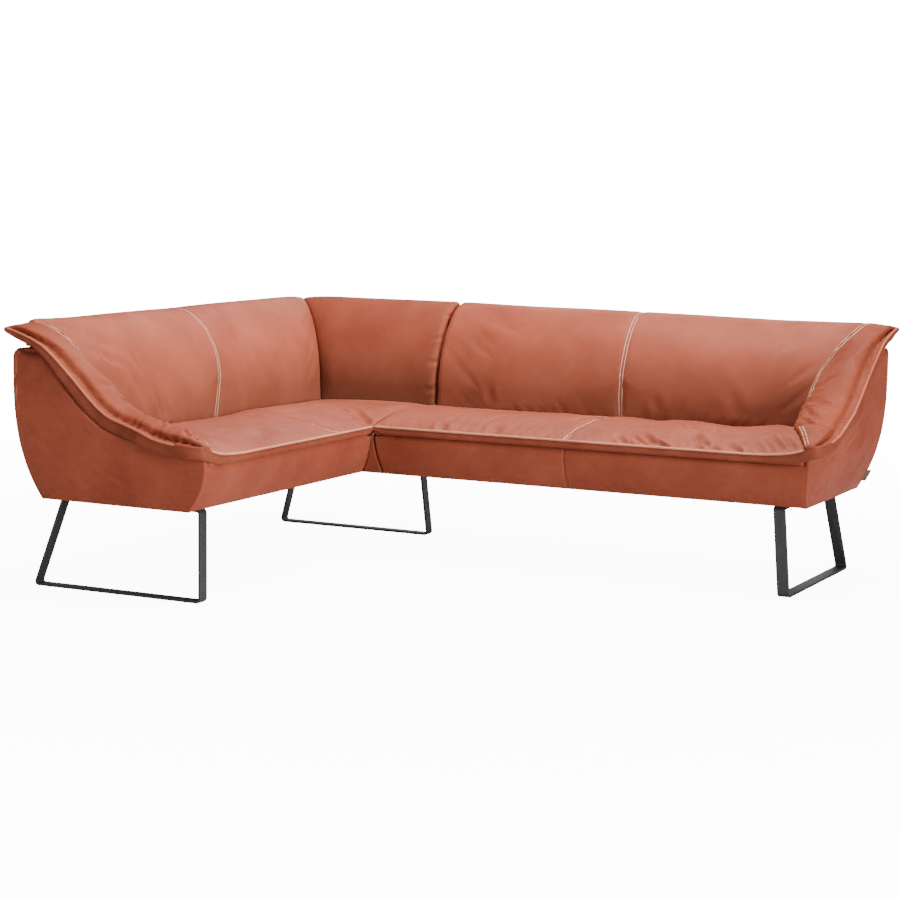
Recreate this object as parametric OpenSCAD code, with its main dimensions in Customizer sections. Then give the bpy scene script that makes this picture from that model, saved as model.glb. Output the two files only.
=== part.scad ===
// Leather corner bench sofa: a corner unit and a long unit, side by side, on three sled frames.
// All sizes are in millimetres. Each unit is drawn in its own frame: w runs along its length
// towards its arm end, d runs from the front edge of the base to the rear, and z runs up.
// The bench frame has its origin on the floor below the inner corner of the two fronts.

/* [Overall] */
// Length of the long front at the base, from the inner corner to the right end
long_len = 1607; // [1300:1:2200]
// Length of the short front at the base, from the inner corner to the left end
short_len = 1099; // [900:1:1700]
// Depth of each unit at the base
base_depth = 550; // [530:1:600]
// Height of the underside of the base above the floor
base_h = 290; // [250:1:320]
// Height of the crown of the back cushions
back_h = 861; // [840:1:920]

/* [Shell] */
// Thickness of the padded leather shell panels
panel_t = 18; // [14:1:22]
// Top of the front panels, where the seat pads rest
front_h = 440; // [425:1:455]
// Top of the rear panels, where the back cushions fold over
shell_h = 772; // [765:1:800]
// How far a front panel swells forward from its lower edge
front_flare = 80; // [50:1:90]
// Height at which a front panel stops swelling
front_flare_top = 460; // [455:1:500]
// How far an end panel swells outward from its lower edge
end_flare = 80; // [50:1:90]
// How far a rear panel swells backward from its lower edge
rear_flare = 50; // [30:1:60]
// Height at which the end and rear panels stop swelling
flare_top = 680; // [640:1:720]

/* [Unit joint] */
// Distance of the joint between the two units from the inner corner
joint_x = 85; // [82:1:88]
// Width of the dark gap between the units
joint_gap = 6; // [3:1:8]
// Length of a joining plate across the joint
plate_len = 120; // [90:1:160]
// Width of a joining plate
plate_w = 30; // [24:1:40]
// Thickness of a joining plate
plate_t = 4; // [3:1:6]
// Distance of a joining plate from the base's front or rear edge
plate_in = 110; // [90:1:160]

/* [Wooden frame] */
// Thickness of the long seat rails
rail_t = 22; // [18:1:28]
// Distance of the front rail behind the front edge of the base
rail_inset = 30; // [24:1:40]
// Width of a cross rail that carries a sled frame
leg_rail_w = 46; // [44:1:60]
// Thickness of a plain cross rail
cross_t = 18; // [15:1:24]
// Thickness of the rear seat rail, which carries the back posts
rear_rail_t = 45; // [40:1:50]
// Thickness of the plywood back boards
board_t = 6; // [4:1:9]
// Distance of the back boards inside the rear of the base
board_in = 56; // [52:1:62]
// Height of the top rails
top_rail_h = 20; // [15:1:25]
// Width of a back post
post_w = 40; // [30:1:50]

/* [Seat] */
// Thickness of the seat foam
foam_t = 37; // [30:1:45]
// Thickness of the elastic webbing
web_t = 3; // [2:0.5:4]
// Width of one strap of webbing
web_w = 60; // [50:1:70]
// Straps in the long unit
long_straps = 9; // [6:1:11]
// Straps in the corner unit
corner_straps = 9; // [6:1:10]
// Depth of the seat from the base's front edge to the back cushion
seat_d = 386; // [370:1:400]
// Overhang of the seat pad's piped edge in front of the base's lower edge
seat_lip = 92; // [92:1:100]
// Height of the piped edge above the pad's underside
pipe_rise = 26; // [22:1:30]
// Thickness of the piped edge
pipe_t = 5; // [3:1:7]
// Depth by which a pad's front tucks back under its piped edge
tuck = 10; // [6:1:14]
// Height of the pad above its underside at the back cushion
seat_rise = 50; // [44:1:56]
// Crown of a seat pad between its edges
seat_crown = 26; // [16:1:34]
// Depth of a sewn channel
channel_depth = 6; // [2:1:9]
// Half width of a sewn channel
channel_half = 22; // [18:1:30]

/* [Back cushions] */
// Height of the point where the cushion's face starts to lean back
lean_z = 562; // [540:1:600]
// Distance of the cushion's crown behind its face
lean_d = 199; // [190:1:204]
// Fall from the cushion's crown to its rear lip
lip_fall = 56; // [50:1:60]
// Distance of the rear lip behind the crown
lip_d = 27; // [20:1:32]
// How far a cushion's ends are drawn in
draw_in = 12; // [4:1:16]

/* [Arm pads] */
// Distance of an arm pad's inner edge inside the base's end
arm_in = 46; // [36:1:56]
// Overhang of the sewn flange beyond the swollen end panel
flange_lip = 20; // [12:1:26]
// Height of the flange at the seat's front edge
arm_front_z = 488; // [485:1:500]
// Height of the flange at the rear
arm_rear_z = 843; // [830:1:850]
// Height of the steep sweep in the middle of the flange
arm_sweep = 170; // [120:1:200]
// Depth at which the steep sweep starts
arm_sweep_front = 180; // [150:1:220]
// Depth at which the steep sweep ends
arm_sweep_rear = 520; // [480:1:550]
// Reach of the flange behind the rear of the base
arm_rear_reach = 64; // [60:1:67]
// Width of the sewn flange
flange_w = 18; // [12:1:24]
// Thickness of the sewn flange
flange_t = 5; // [3:1:7]
// Depth of the pad below the flange
arm_drop = 40; // [34:1:44]
// Height of the pad's crown above the flange
arm_crown = 70; // [50:1:76]
// Radius of the flange's turn at the seat's front corner
arm_corner_r = 60; // [40:1:80]

/* [Sled frames] */
// Width of the flat bar
bar_w = 40; // [35:1:44]
// Thickness of the flat bar
bar_t = 8; // [6:1:10]
// Inner radius of the bends
bend_r = 6; // [4:1:12]
// Reach of the floor bar in front of the base's lower edge
leg_front = 15; // [5:1:20]
// Reach of the floor bar behind the base's lower edge
leg_rear = 68; // [68:1:80]
// Forward rake of the front upright
rake_front = 20; // [16:1:40]
// Backward rake of the rear upright
rake_rear = 92; // [88:1:110]
// Outward splay of a frame between the base and the floor
splay = 30; // [10:1:40]
// Distance of an end frame's floor bar inside the end of the base
leg_inset = 42; // [30:1:60]
// Distance of the corner frame's floor bar inside the rear of the base
corner_leg_inset = 31; // [20:1:40]
// Radius of a floor glide
glide_r = 14; // [10:1:17]
// Thickness of a floor glide
glide_t = 2; // [1.6:0.2:3]
// Distance of a glide's centre from the end of the straight floor bar
glide_in = 60; // [40:1:90]

/* [Fasteners] */
// Radius of a frame screw
screw_r = 2.5; // [2:0.25:3.5]
// Length of a frame screw above the bar
screw_len = 36; // [25:1:45]
// Radius of a screw head
head_r = 5; // [4:0.5:6.5]
// Height of a screw head
head_h = 3; // [2:0.5:4]
// Screws in each sled frame
frame_screws = 4; // [2:1:6]
// Clearance round a screw
screw_gap = 0.25; // [0.1:0.05:0.5]

/* [Tag] */
// Width of the blank tag along the seam
tag_w = 28; // [18:1:36]
// Reach of the blank tag out of the seam
tag_d = 14; // [8:1:20]
// Thickness of the blank tag
tag_t = 1.6; // [1:0.2:2.4]
// Height of the tag's lower edge
tag_z = 330; // [310:1:400]

/* [Hidden] */

leather = [0.74, 0.38, 0.29];
leather_dark = [0.60, 0.30, 0.23];
steel = [0.16, 0.17, 0.18];
zinc = [0.62, 0.63, 0.65];
beech = [0.80, 0.66, 0.46];
ply = [0.72, 0.58, 0.40];
foam = [0.93, 0.90, 0.78];
cloth = [0.12, 0.12, 0.13];

curve_steps = 7;
touch = 0.3;
big = 4000;
cover_t = 1;
cut = 1;

// Distances of a cushion's rings from its end
end_ring = 12;
shoulder_ring = 40;
body_ring = 110;

// Clearances inside the shell
pad_gap = 2;
rear_gap = 3;
foam_gap = 3;
post_gap = 5;

rail_z = base_h + cover_t;
foam_z = front_h - foam_t;
rail_top = foam_z - web_t;
rail_h = rail_top - rail_z;
foam_lip = front_out(foam_z) - panel_t - foam_gap;
pad_z = front_h + touch;
board_d = base_depth - board_in;
board_back = board_d + board_t;
top_rail_z = shell_h - top_rail_h;
rear_rail_d = base_depth - panel_t - rear_rail_t - rear_gap;
side_rail_d = base_depth - panel_t - rail_t;
corner_post_d = board_back + post_gap;
thread_gap = 0.05;
plate_ds = [plate_in, base_depth - plate_in];
arm_w = arm_in + touch;
leg_h = base_h - glide_t;
arm_rear_d = base_depth + arm_rear_reach;
tip_start = 0.8;
tip_share = 0.15;
unit_back = base_depth + rear_flare;

// How far a unit reaches behind its front line: the sled frame, the arm's tip or the back cushion
bar_corner_r = bend_r + bar_t;
rear_bend = atan(leg_h / rake_rear);
leg_end_d = base_depth + leg_rear - bar_corner_r * (1 / tan(rear_bend / 2) - 1);
arm_end_d = beside_flange(arm_rear_d, -drop_at(arm_rear_d))[0];
unit_reach = max(leg_end_d, arm_end_d, seat_d + lean_d + lip_d);

// The middle of the whole sofa in the bench frame
end_reach = end_flare + flange_lip;
mid_x = (long_len + end_reach - unit_reach) / 2;
mid_y = (unit_reach - short_len - end_reach) / 2;

// Sides of the joint between the units
corner_edge = joint_x - joint_gap / 2;
long_edge = joint_x + joint_gap / 2;

// Middle seams
long_seam = long_len / 2;
short_seam = (short_len - arm_w - seat_d) / 2;

function mix(a, b, t) = a + (b - a) * t;
function clamp(t) = min(max(t, 0), 1);
function swell(t) = 1 - pow(1 - clamp(t), 2);
function smooth(t) = let (c = clamp(t)) c * c * (3 - 2 * c);
function flip(list) = [for (i = [len(list) - 1:-1:0]) list[i]];
function spread(a, b, n) = [for (i = [0:n]) mix(a, b, i / n)];

// Outward swell of the front, rear and end panels at height z
function front_out(z) = front_flare * swell((z - base_h) / (front_flare_top - base_h));
function rear_out(z) = rear_flare * swell((z - base_h) / (flare_top - base_h));
function end_out(z) = end_flare * swell((z - base_h) / (flare_top - base_h));

// Panel faces as lines from the lower edge upward, moved inward by an inset
function front_line(inset) =
    [for (z = spread(base_h, front_h, curve_steps)) [inset - front_out(z), z]];
function rear_line(inset) =
    [for (z = spread(base_h, shell_h, curve_steps)) [base_depth + rear_out(z) - inset, z]];
function end_line(len, inset) =
    [for (z = spread(base_h, shell_h, curve_steps)) [len + end_out(z) - inset, z]];

// The flange of an arm: height at depth d, and the points and normals along it
function path_t(d) = (d + seat_lip) / (arm_rear_d + seat_lip);
function flange_z(d) = mix(arm_front_z, arm_rear_z - arm_sweep, path_t(d))
    + arm_sweep * smooth((d - arm_sweep_front) / (arm_sweep_rear - arm_sweep_front));
function flange_slope(d) = (flange_z(d + 1) - flange_z(d - 1)) / 2;
function flange_up(d) = let (s = flange_slope(d), n = sqrt(1 + s * s)) [-s / n, 1 / n];
function beside_flange(d, v) = [d, flange_z(d)] + v * flange_up(d);
arm_steps = 16;
arm_ds = concat([for (a = [0, 30, 60]) arm_corner_r * (1 - cos(a)) - seat_lip],
    spread(arm_corner_r - seat_lip, arm_rear_d, arm_steps));
function corner_cut(d) = let (x = max(0, arm_corner_r - d - seat_lip))
    arm_corner_r - sqrt(arm_corner_r * arm_corner_r - x * x);
function drop_at(d) = arm_drop * mix(1, tip_share, smooth((path_t(d) - tip_start) / (1 - tip_start)));

// A closed solid through a list of rings with equal numbers of points
module loft(rings) {
    n = len(rings);
    m = len(rings[0]);
    points = [for (ring = rings) for (p = ring) p];
    sides = [for (i = [0:n - 2]) for (j = [0:m - 1]) each [
        [i * m + j, i * m + (j + 1) % m, (i + 1) * m + j],
        [i * m + (j + 1) % m, (i + 1) * m + (j + 1) % m, (i + 1) * m + j]]];
    first = [for (j = [m - 1:-1:0]) j];
    last = [for (j = [0:m - 1]) (n - 1) * m + j];
    polyhedron(points, concat(sides, [first, last]), convexity = 6);
}

// Places a unit's own frame in the bench frame, and the bench frame on the sofa's middle
module bench() { translate([-mid_x, -mid_y, 0]) children(); }
module long_unit() { bench() children(); }
module corner_unit() { bench() mirror([1, 1, 0]) children(); }

// A (d, z) outline drawn out along w
module along_w(w0, w1) {
    translate([w0, 0, 0]) rotate([90, 0, 90]) linear_extrude(w1 - w0) children();
}

// A (w, z) outline drawn out along d
module along_d(d0, d1) {
    translate([0, d1, 0]) rotate([90, 0, 0]) linear_extrude(d1 - d0) children();
}

module box(w0, w1, d0, d1, z0, z1) {
    translate([w0, d0, z0]) cube([w1 - w0, d1 - d0, z1 - z0]);
}

// Everything on the arm side of the diagonal plane through the inner corner
module past_mitre() {
    linear_extrude(big) polygon([[-big, big], [big, -big], [big, big]]);
}

// Outlines in (d, z)
module front_band() { polygon(concat(front_line(0), flip(front_line(panel_t)))); }
module rear_band() { polygon(concat(rear_line(0), flip(rear_line(panel_t)))); }
module between_panels() {
    polygon(concat(front_line(panel_t), [[panel_t - front_out(front_h), shell_h]], flip(rear_line(panel_t))));
}
module above_arm_edge() {
    edge = [for (d = arm_ds) beside_flange(d, -drop_at(d) - touch)];
    polygon(concat([[-big, edge[0][1]]], edge, [[big, edge[len(edge) - 1][1]], [big, big], [-big, big]]));
}

// Outlines in (w, z)
module end_band(len) { polygon(concat(end_line(len, panel_t), flip(end_line(len, 0)))); }
module inside_end(len) { polygon(concat([[-big, base_h]], end_line(len, panel_t), [[-big, shell_h]])); }
module inside_outer(len) { polygon(concat([[-big, base_h]], end_line(len, 0), [[-big, shell_h]])); }

// Shell panels
module front_panel(w0, len) {
    intersection() {
        along_w(w0, len + end_flare) front_band();
        along_d(-big, big) inside_outer(len);
    }
}
module rear_panel(w0, len) {
    intersection() {
        along_w(w0, len + end_flare) rear_band();
        along_d(-big, big) inside_outer(len);
    }
}
module end_panel(len) {
    intersection() {
        along_d(-front_flare, unit_back) end_band(len);
        along_w(len - panel_t, len + end_flare) difference() {
            between_panels();
            above_arm_edge();
        }
    }
}

// Padded block between the end panel and the seat, under the arm pad
module arm_block(len) {
    intersection() {
        along_d(-front_flare, unit_back) inside_end(len);
        along_w(len - arm_in, len + end_flare) difference() {
            between_panels();
            above_arm_edge();
            translate([-big, 0]) square([2 * big, rail_top]);
        }
    }
}

// Wooden seat frame
module rail_section() {
    intersection() {
        between_panels();
        translate([-big, rail_z]) square([2 * big, rail_h]);
    }
}
module front_rail(w0, w1) { box(w0, w1, rail_inset, rail_inset + rail_t, rail_z, rail_top); }
module rear_rail(w0, w1) { box(w0, w1, rear_rail_d, rear_rail_d + rear_rail_t, rail_z, rail_top); }
module cross_rail(w, t) {
    difference() {
        along_w(w - t / 2, w + t / 2) rail_section();
        front_rail(w - t, w + t);
        rear_rail(w - t, w + t);
        if (w < 0) box(w - t, w + t, -big, rail_inset, rail_z, rail_top);
    }
    if (w < 0) box(w - t / 2, w + t / 2, leg_rail_w - corner_edge, rail_inset, rail_z, rail_top);
}
module joint_rail(w0, w1, d1) { box(w0, w1, panel_t, d1, rail_z, rail_top); }
function inner_stations(a, b, n) = [for (i = [1:n]) mix(a, b, i / (n + 1))];
module end_rail(len) {
    intersection() {
        along_d(-front_flare, unit_back) difference() {
            inside_end(len);
            translate([-big, 0]) square([big + len - panel_t - cross_t, big]);
        }
        along_w(len - big, len + end_flare) rail_section();
    }
}
function arm_leg_w(len) = len - leg_inset - splay - bar_w / 2;
corner_leg_w = -(base_depth - corner_leg_inset - splay - bar_w / 2);
rail_end = panel_t + cross_t;

// Back frame
module back_post(w) {
    along_w(w - post_w / 2, w + post_w / 2) intersection() {
        between_panels();
        translate([board_back, rail_top]) square([big, top_rail_z - rail_top]);
    }
}
module top_rail(w0, w1) {
    along_w(w0, w1) intersection() {
        between_panels();
        translate([board_back, top_rail_z]) square([big, top_rail_h]);
    }
}
module back_board(w0, w1) { box(w0, w1, board_d, board_back, foam_z, shell_h); }

// Webbing straps, evenly spaced between two ends
module straps(w0, w1, n) {
    pitch = (w1 - w0) / n;
    for (i = [0:n - 1])
        box(w0 + pitch * (i + 0.5) - web_w / 2, w0 + pitch * (i + 0.5) + web_w / 2,
            rail_inset, board_back - touch, rail_top, foam_z);
}

// Seat pad: a crowned pad with a thin piped front edge and ends drawn in
function near_seam(w, seam) = max(0, 1 - abs(w - seam) / channel_half);
function end_fullness(w, w0, w1) = let (t = (w - w0) / (w1 - w0)) 1 - pow(abs(2 * t - 1), 10);
top_steps = 11;
function seat_ring(w, w0, w1, seam, lip) =
    let (
        full = end_fullness(w, w0, w1),
        d0 = -lip + draw_in * (1 - full) / 2,
        d1 = seat_d - pad_gap,
        sink = channel_depth * near_seam(w, seam),
        pipe_z = pad_z + pipe_rise,
        top = [for (i = [0:top_steps]) let (t = i / top_steps)
            [w, mix(d0, d1, t), mix(pipe_z, pad_z + seat_rise, t)
                + (seat_crown * mix(0.1, 1, full) - sink) * pow(sin(180 * t), 0.7)]])
    concat(top, [
        [w, d1, pad_z],
        [w, mix(d0, d1, 0.5), pad_z],
        [w, d0 + tuck + pad_gap, pad_z],
        [w, d0 + tuck, pad_z + pipe_rise * 0.6],
        [w, d0, pipe_z - pipe_t]]);
function seam_stations(seam) = [seam - channel_half, seam, seam + channel_half];
function pad_stations(w0, w1, seam) = concat(
    [w0, w0 + end_ring, w0 + shoulder_ring], spread(w0 + body_ring, seam - 2 * channel_half, 3),
    seam_stations(seam), spread(seam + 2 * channel_half, w1 - body_ring, 3),
    [w1 - shoulder_ring, w1 - end_ring, w1]);

// Back cushion: face leaning back in one sweep, folded over the top rail
lean_power = 1.75;
function quarter(t, a, b, power) = [a * pow(cos(t), 2 / power), b * pow(sin(t), 2 / power)];
function back_ring(full) =
    let (
        pull = draw_in * (1 - full),
        crown_d = seat_d + lean_d,
        rise = back_h - pull - lean_z,
        face = [for (t = spread(0, 90, 8)) let (q = quarter(t, lean_d - pull, rise, lean_power))
            [crown_d - q[0], lean_z + q[1]]],
        lip = [for (t = spread(68, 0, 3)) let (q = quarter(t, lip_d - pull / 2, lip_fall - pull, 2))
            [crown_d + q[0], back_h - lip_fall + q[1]]])
    concat([
        [board_d - touch, shell_h + touch],
        [board_d - touch, pad_z],
        [seat_d + pull / 2, pad_z],
        [seat_d + pull / 2, mix(pad_z, lean_z, 0.5)]], face, lip, [[crown_d, shell_h + touch]]);
function back_fullness(t) = 1 - pow(abs(t), 10);

// Rings of a cushion whose low end is cut on the diagonal of the corner
mitre_start = -(seat_d - 2 * shoulder_ring);
function mitre_fullness(t) = mix(0.4, 1, smooth(t));
function mitred_rings(ws, w1, seam) = concat(
    [for (t = [0, 0.35, 0.7]) [for (p = back_ring(mitre_fullness(t)))
        [mix(touch - p[0], mitre_start, t), p[0], p[1]]]],
    [for (w = ws) let (full = back_fullness(clamp((w - mitre_start) / (w1 - mitre_start)))
            - near_seam(w, seam) * channel_depth / draw_in)
        [for (p = back_ring(full)) [w, p[0], p[1]]]]);

// Arm pad: rings across the flange path, from the seat's front edge to the rear tip. The pad is
// fullest between its first and last thirds, and its section is a crowned arc beside a flat flange.
function arm_full(t) = mix(0.22, 1, smooth(t / 0.42)) * mix(1, 0.1, smooth((t - 0.72) / 0.28));
function arm_arc(t) = pow(sin(180 * mix(0.08, 0.88, t)), 0.7);
arc_steps = 6;
under_in = 2;
under_out = 3;
function arm_ring(len, d) =
    let (
        t = path_t(d),
        up = arm_crown * arm_full(t),
        drop = drop_at(d),
        out = end_out(flange_z(d)) + flange_lip - corner_cut(d),
        under = end_out(beside_flange(d, -drop)[1]) - corner_cut(d),
        arc = [for (i = [0:arc_steps]) let (t = i / arc_steps)
            [mix(out - flange_w, -arm_in, t), max(flange_t, up * arm_arc(t))]],
        uv = concat([[out, 0], [out - flange_t, flange_t]], arc, [
            [-arm_in, -drop * 0.5], [-arm_in, -drop], [mix(-arm_in, under, 0.6), -drop],
            [under - under_in, -drop], [under + under_out, -drop * 0.5], [out - flange_t, -drop / 8]]))
    [for (p = uv) let (q = beside_flange(d, p[1])) [len + p[0], q[0], q[1]]];
module arm_pad(len) { loft([for (d = arm_ds) arm_ring(len, d)]); }

// Sled frame: a flat bar bent into a trapezoid, its floor bar splayed to one side
module frame_outline() {
    polygon([[-leg_front, glide_t], [-leg_front + rake_front, base_h],
        [base_depth + leg_rear - rake_rear, base_h], [base_depth + leg_rear, glide_t]]);
}
module rounded_outline() { offset(r = bar_corner_r) offset(delta = -bar_corner_r) frame_outline(); }
module frame_ring() {
    difference() {
        rounded_outline();
        offset(delta = -bar_t) rounded_outline();
    }
}
module sled_frame(w, side) {
    difference() {
        multmatrix([[1, 0, -side * splay / leg_h, w + side * splay * base_h / leg_h],
                    [0, 1, 0, 0],
                    [0, 0, 1, 0]])
            along_w(-bar_w / 2, bar_w / 2) frame_ring();
        frame_screws_at(w, screw_gap, base_h - bar_t - cut, base_h + cut);
    }
}
screw_in = 60;
screw_d0 = rake_front - leg_front + screw_in;
screw_d1 = base_depth + leg_rear - rake_rear - screw_in;
module frame_screw_places() {
    for (i = [0:frame_screws - 1])
        translate([0, mix(screw_d0, screw_d1, i / (frame_screws - 1)), 0]) children();
}

// Screws that hold a sled frame to its cross rail, and the holes for them
module frame_screws_at(w, gap, z0, z1) {
    translate([w, 0, z0]) frame_screw_places() cylinder(r = screw_r + gap, h = z1 - z0, $fn = 32);
}
module leg_rail(w) {
    difference() {
        cross_rail(w, leg_rail_w);
        frame_screws_at(w, thread_gap, rail_z - cut, base_h + screw_len + cut);
    }
}
module frame_screw_set(w) {
    frame_screws_at(w, 0, base_h - bar_t, base_h + screw_len);
    frame_screws_at(w, head_r - screw_r, base_h - bar_t - head_h, base_h - bar_t);
}
module glides(w) {
    for (d = [-leg_front + glide_in, base_depth + leg_rear - glide_in])
        translate([w, d, 0]) cylinder(r = glide_r, h = glide_t, $fn = 48);
}

// Places in the bench frame where the joining plates' screws stand
module plate_screw_places() {
    for (d = plate_ds)
        for (side = [-1, 1])
            for (reach = [0.3, 0.78])
                translate([joint_x + side * plate_len / 2 * reach, d, 0]) children();
}
module plate_screw_holes(gap, z0, z1) {
    translate([0, 0, z0]) plate_screw_places() cylinder(r = screw_r + gap, h = z1 - z0, $fn = 32);
}

// Sub-parts that belong to the whole sofa
module left_leg_frame() { color(steel) corner_unit() sled_frame(arm_leg_w(short_len), 1); }
module corner_leg_frame() { color(steel) corner_unit() sled_frame(corner_leg_w, -1); }
module right_leg_frame() { color(steel) long_unit() sled_frame(arm_leg_w(long_len), 1); }
module floor_glides() {
    color(cloth) {
        corner_unit() glides(arm_leg_w(short_len) + splay);
        corner_unit() glides(corner_leg_w - splay);
        long_unit() glides(arm_leg_w(long_len) + splay);
    }
}
module leg_screws() {
    color(zinc) {
        corner_unit() frame_screw_set(arm_leg_w(short_len));
        corner_unit() frame_screw_set(corner_leg_w);
        long_unit() frame_screw_set(arm_leg_w(long_len));
    }
}
module joining_plates() {
    color(zinc) bench() difference() {
        for (d = plate_ds)
            box(joint_x - plate_len / 2, joint_x + plate_len / 2, d - plate_w / 2, d + plate_w / 2,
                base_h - plate_t, base_h);
        plate_screw_holes(screw_gap, base_h - plate_t - cut, base_h + cut);
    }
}
module joining_screws() {
    color(zinc) bench() {
        plate_screw_holes(0, base_h - plate_t, base_h + screw_len);
        plate_screw_holes(head_r - screw_r, base_h - plate_t - head_h, base_h - plate_t);
    }
}

// Sub-parts of the corner unit
module corner_front_rail() { color(beech) corner_unit() front_rail(-side_rail_d, short_len - rail_end); }
module corner_rear_rail() { color(beech) corner_unit() rear_rail(-side_rail_d, short_len - rail_end); }
module corner_cross_rails() {
    color(beech) corner_unit() {
        leg_rail(arm_leg_w(short_len));
        leg_rail(corner_leg_w);
        for (w = inner_stations(corner_leg_w, arm_leg_w(short_len), 3)) cross_rail(w, cross_t);
    }
}
module corner_side_rail() {
    color(beech) long_unit()
        box(-(base_depth - panel_t), corner_edge, side_rail_d, base_depth - panel_t, rail_z, rail_top);
}
module corner_joint_rail() {
    color(beech) difference() {
        long_unit() joint_rail(corner_edge - leg_rail_w, corner_edge, side_rail_d);
        bench() plate_screw_holes(thread_gap, rail_z - cut, base_h + screw_len + cut);
    }
}
module corner_end_rail() { color(ply) corner_unit() end_rail(short_len); }
module corner_back_posts() {
    color(beech) {
        corner_unit() for (w = spread(0, short_len - arm_in - post_w / 2, 2)) back_post(w);
        long_unit() back_post(corner_edge - post_w / 2);
        long_unit() back_post((corner_edge - post_w - board_d) / 2);
        bench() box(-corner_post_d - post_w, -corner_post_d, corner_post_d, corner_post_d + post_w,
            rail_top, top_rail_z);
    }
}
module short_top_rail() {
    color(beech) corner_unit() intersection() {
        top_rail(-unit_back, short_len - arm_in);
        past_mitre();
    }
}
module corner_top_rail() {
    color(beech) long_unit() intersection() {
        top_rail(-unit_back, corner_edge);
        past_mitre();
    }
}
module short_back_board() {
    color(ply) corner_unit() intersection() {
        back_board(-unit_back, short_len - arm_in);
        past_mitre();
    }
}
module corner_back_board() {
    color(ply) long_unit() intersection() {
        back_board(-unit_back, corner_edge);
        past_mitre();
    }
}
module corner_webbing() { color(cloth) corner_unit() straps(-board_d, short_len - arm_in, corner_straps); }
module corner_seat_foam() {
    color(foam) corner_unit() box(-board_d, short_len - arm_in, -foam_lip, board_d, foam_z, front_h);
}
module left_arm_block() { color(foam) corner_unit() arm_block(short_len); }
module short_front_panel() {
    color(leather) corner_unit() intersection() {
        front_panel(-big / 2, short_len);
        past_mitre();
    }
}
module inner_corner_panel() {
    color(leather_dark) long_unit() intersection() {
        along_w(-big / 2, corner_edge) front_band();
        past_mitre();
    }
}
module left_end_panel() { color(leather_dark) corner_unit() end_panel(short_len); }
module short_rear_panel() {
    color(leather) corner_unit() intersection() {
        rear_panel(-big / 2, short_len);
        past_mitre();
    }
}
module corner_rear_panel() {
    color(leather) long_unit() intersection() {
        along_w(-big / 2, corner_edge) rear_band();
        past_mitre();
    }
}
module corner_dust_cover() {
    inner_d = base_depth - panel_t;
    color(cloth) difference() {
        corner_unit() difference() {
            union() {
                box(-inner_d, short_len - panel_t, panel_t, inner_d, base_h, rail_z);
                box(-inner_d, -panel_t, -corner_edge, panel_t + cut, base_h, rail_z);
            }
            frame_screws_at(arm_leg_w(short_len), thread_gap, base_h - cut, rail_z + cut);
            frame_screws_at(corner_leg_w, thread_gap, base_h - cut, rail_z + cut);
        }
        bench() plate_screw_holes(thread_gap, base_h - cut, rail_z + cut);
    }
}
module corner_seat_pad() {
    w0 = -(seat_d - pad_gap);
    w1 = short_len - arm_w;
    beside_pad = seat_lip + pad_gap;
    stations = concat(
        [w0, w0 + end_ring, w0 + shoulder_ring, w0 + body_ring, 0, beside_pad, beside_pad + shoulder_ring],
        [short_seam - 2 * channel_half], seam_stations(short_seam),
        spread(short_seam + 2 * channel_half, w1 - body_ring, 3),
        [w1 - shoulder_ring, w1 - end_ring, w1]);
    color(leather) corner_unit() loft([for (w = stations)
        seat_ring(w, w0, w1, short_seam, w > beside_pad ? seat_lip : corner_edge - touch)]);
}
module short_back_cushion() {
    w1 = short_len - arm_w;
    color(leather) corner_unit() loft(mitred_rings(
        concat(spread(mitre_start + shoulder_ring, short_seam - 2 * channel_half, 3),
            seam_stations(short_seam), spread(short_seam + 2 * channel_half, w1 - body_ring, 3),
            [w1 - shoulder_ring, w1 - end_ring, w1]),
        w1, short_seam));
}
module corner_back_cushion() {
    color(leather) long_unit() loft(mitred_rings(
        concat(spread(mitre_start + shoulder_ring, corner_edge - 2 * shoulder_ring, 3),
            [corner_edge - shoulder_ring, corner_edge - end_ring, corner_edge]),
        corner_edge, big));
}
module left_arm_pad() { color(leather_dark) corner_unit() arm_pad(short_len); }

// Sub-parts of the long unit
module long_front_rail() { color(beech) long_unit() front_rail(long_edge + leg_rail_w, long_len - rail_end); }
module long_rear_rail() { color(beech) long_unit() rear_rail(long_edge + leg_rail_w, long_len - rail_end); }
module long_cross_rails() {
    color(beech) long_unit() {
        leg_rail(arm_leg_w(long_len));
        for (w = inner_stations(long_edge, arm_leg_w(long_len), 4)) cross_rail(w, cross_t);
    }
}
module long_joint_rail() {
    color(beech) difference() {
        long_unit() along_w(long_edge, long_edge + leg_rail_w) rail_section();
        bench() plate_screw_holes(thread_gap, rail_z - cut, base_h + screw_len + cut);
    }
}
module long_end_rail() { color(ply) long_unit() end_rail(long_len); }
module long_back_posts() {
    color(beech) long_unit()
        for (w = spread(long_edge + post_w / 2, long_len - arm_in - post_w / 2, 3)) back_post(w);
}
module long_top_rail() { color(beech) long_unit() top_rail(long_edge, long_len - arm_in); }
module long_back_board() { color(ply) long_unit() back_board(long_edge, long_len - arm_in); }
module long_webbing() { color(cloth) long_unit() straps(long_edge, long_len - arm_in, long_straps); }
module long_seat_foam() {
    color(foam) long_unit() box(long_edge, long_len - arm_in, -foam_lip, board_d, foam_z, front_h);
}
module right_arm_block() { color(foam) long_unit() arm_block(long_len); }
module long_front_panel() { color(leather_dark) long_unit() front_panel(long_edge, long_len); }
module right_end_panel() { color(leather) long_unit() end_panel(long_len); }
module long_rear_panel() { color(leather) long_unit() rear_panel(long_edge, long_len); }
module long_dust_cover() {
    color(cloth) difference() {
        long_unit() difference() {
            box(long_edge, long_len - panel_t, panel_t, base_depth - panel_t, base_h, rail_z);
            frame_screws_at(arm_leg_w(long_len), thread_gap, base_h - cut, rail_z + cut);
        }
        bench() plate_screw_holes(thread_gap, base_h - cut, rail_z + cut);
    }
}
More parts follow.
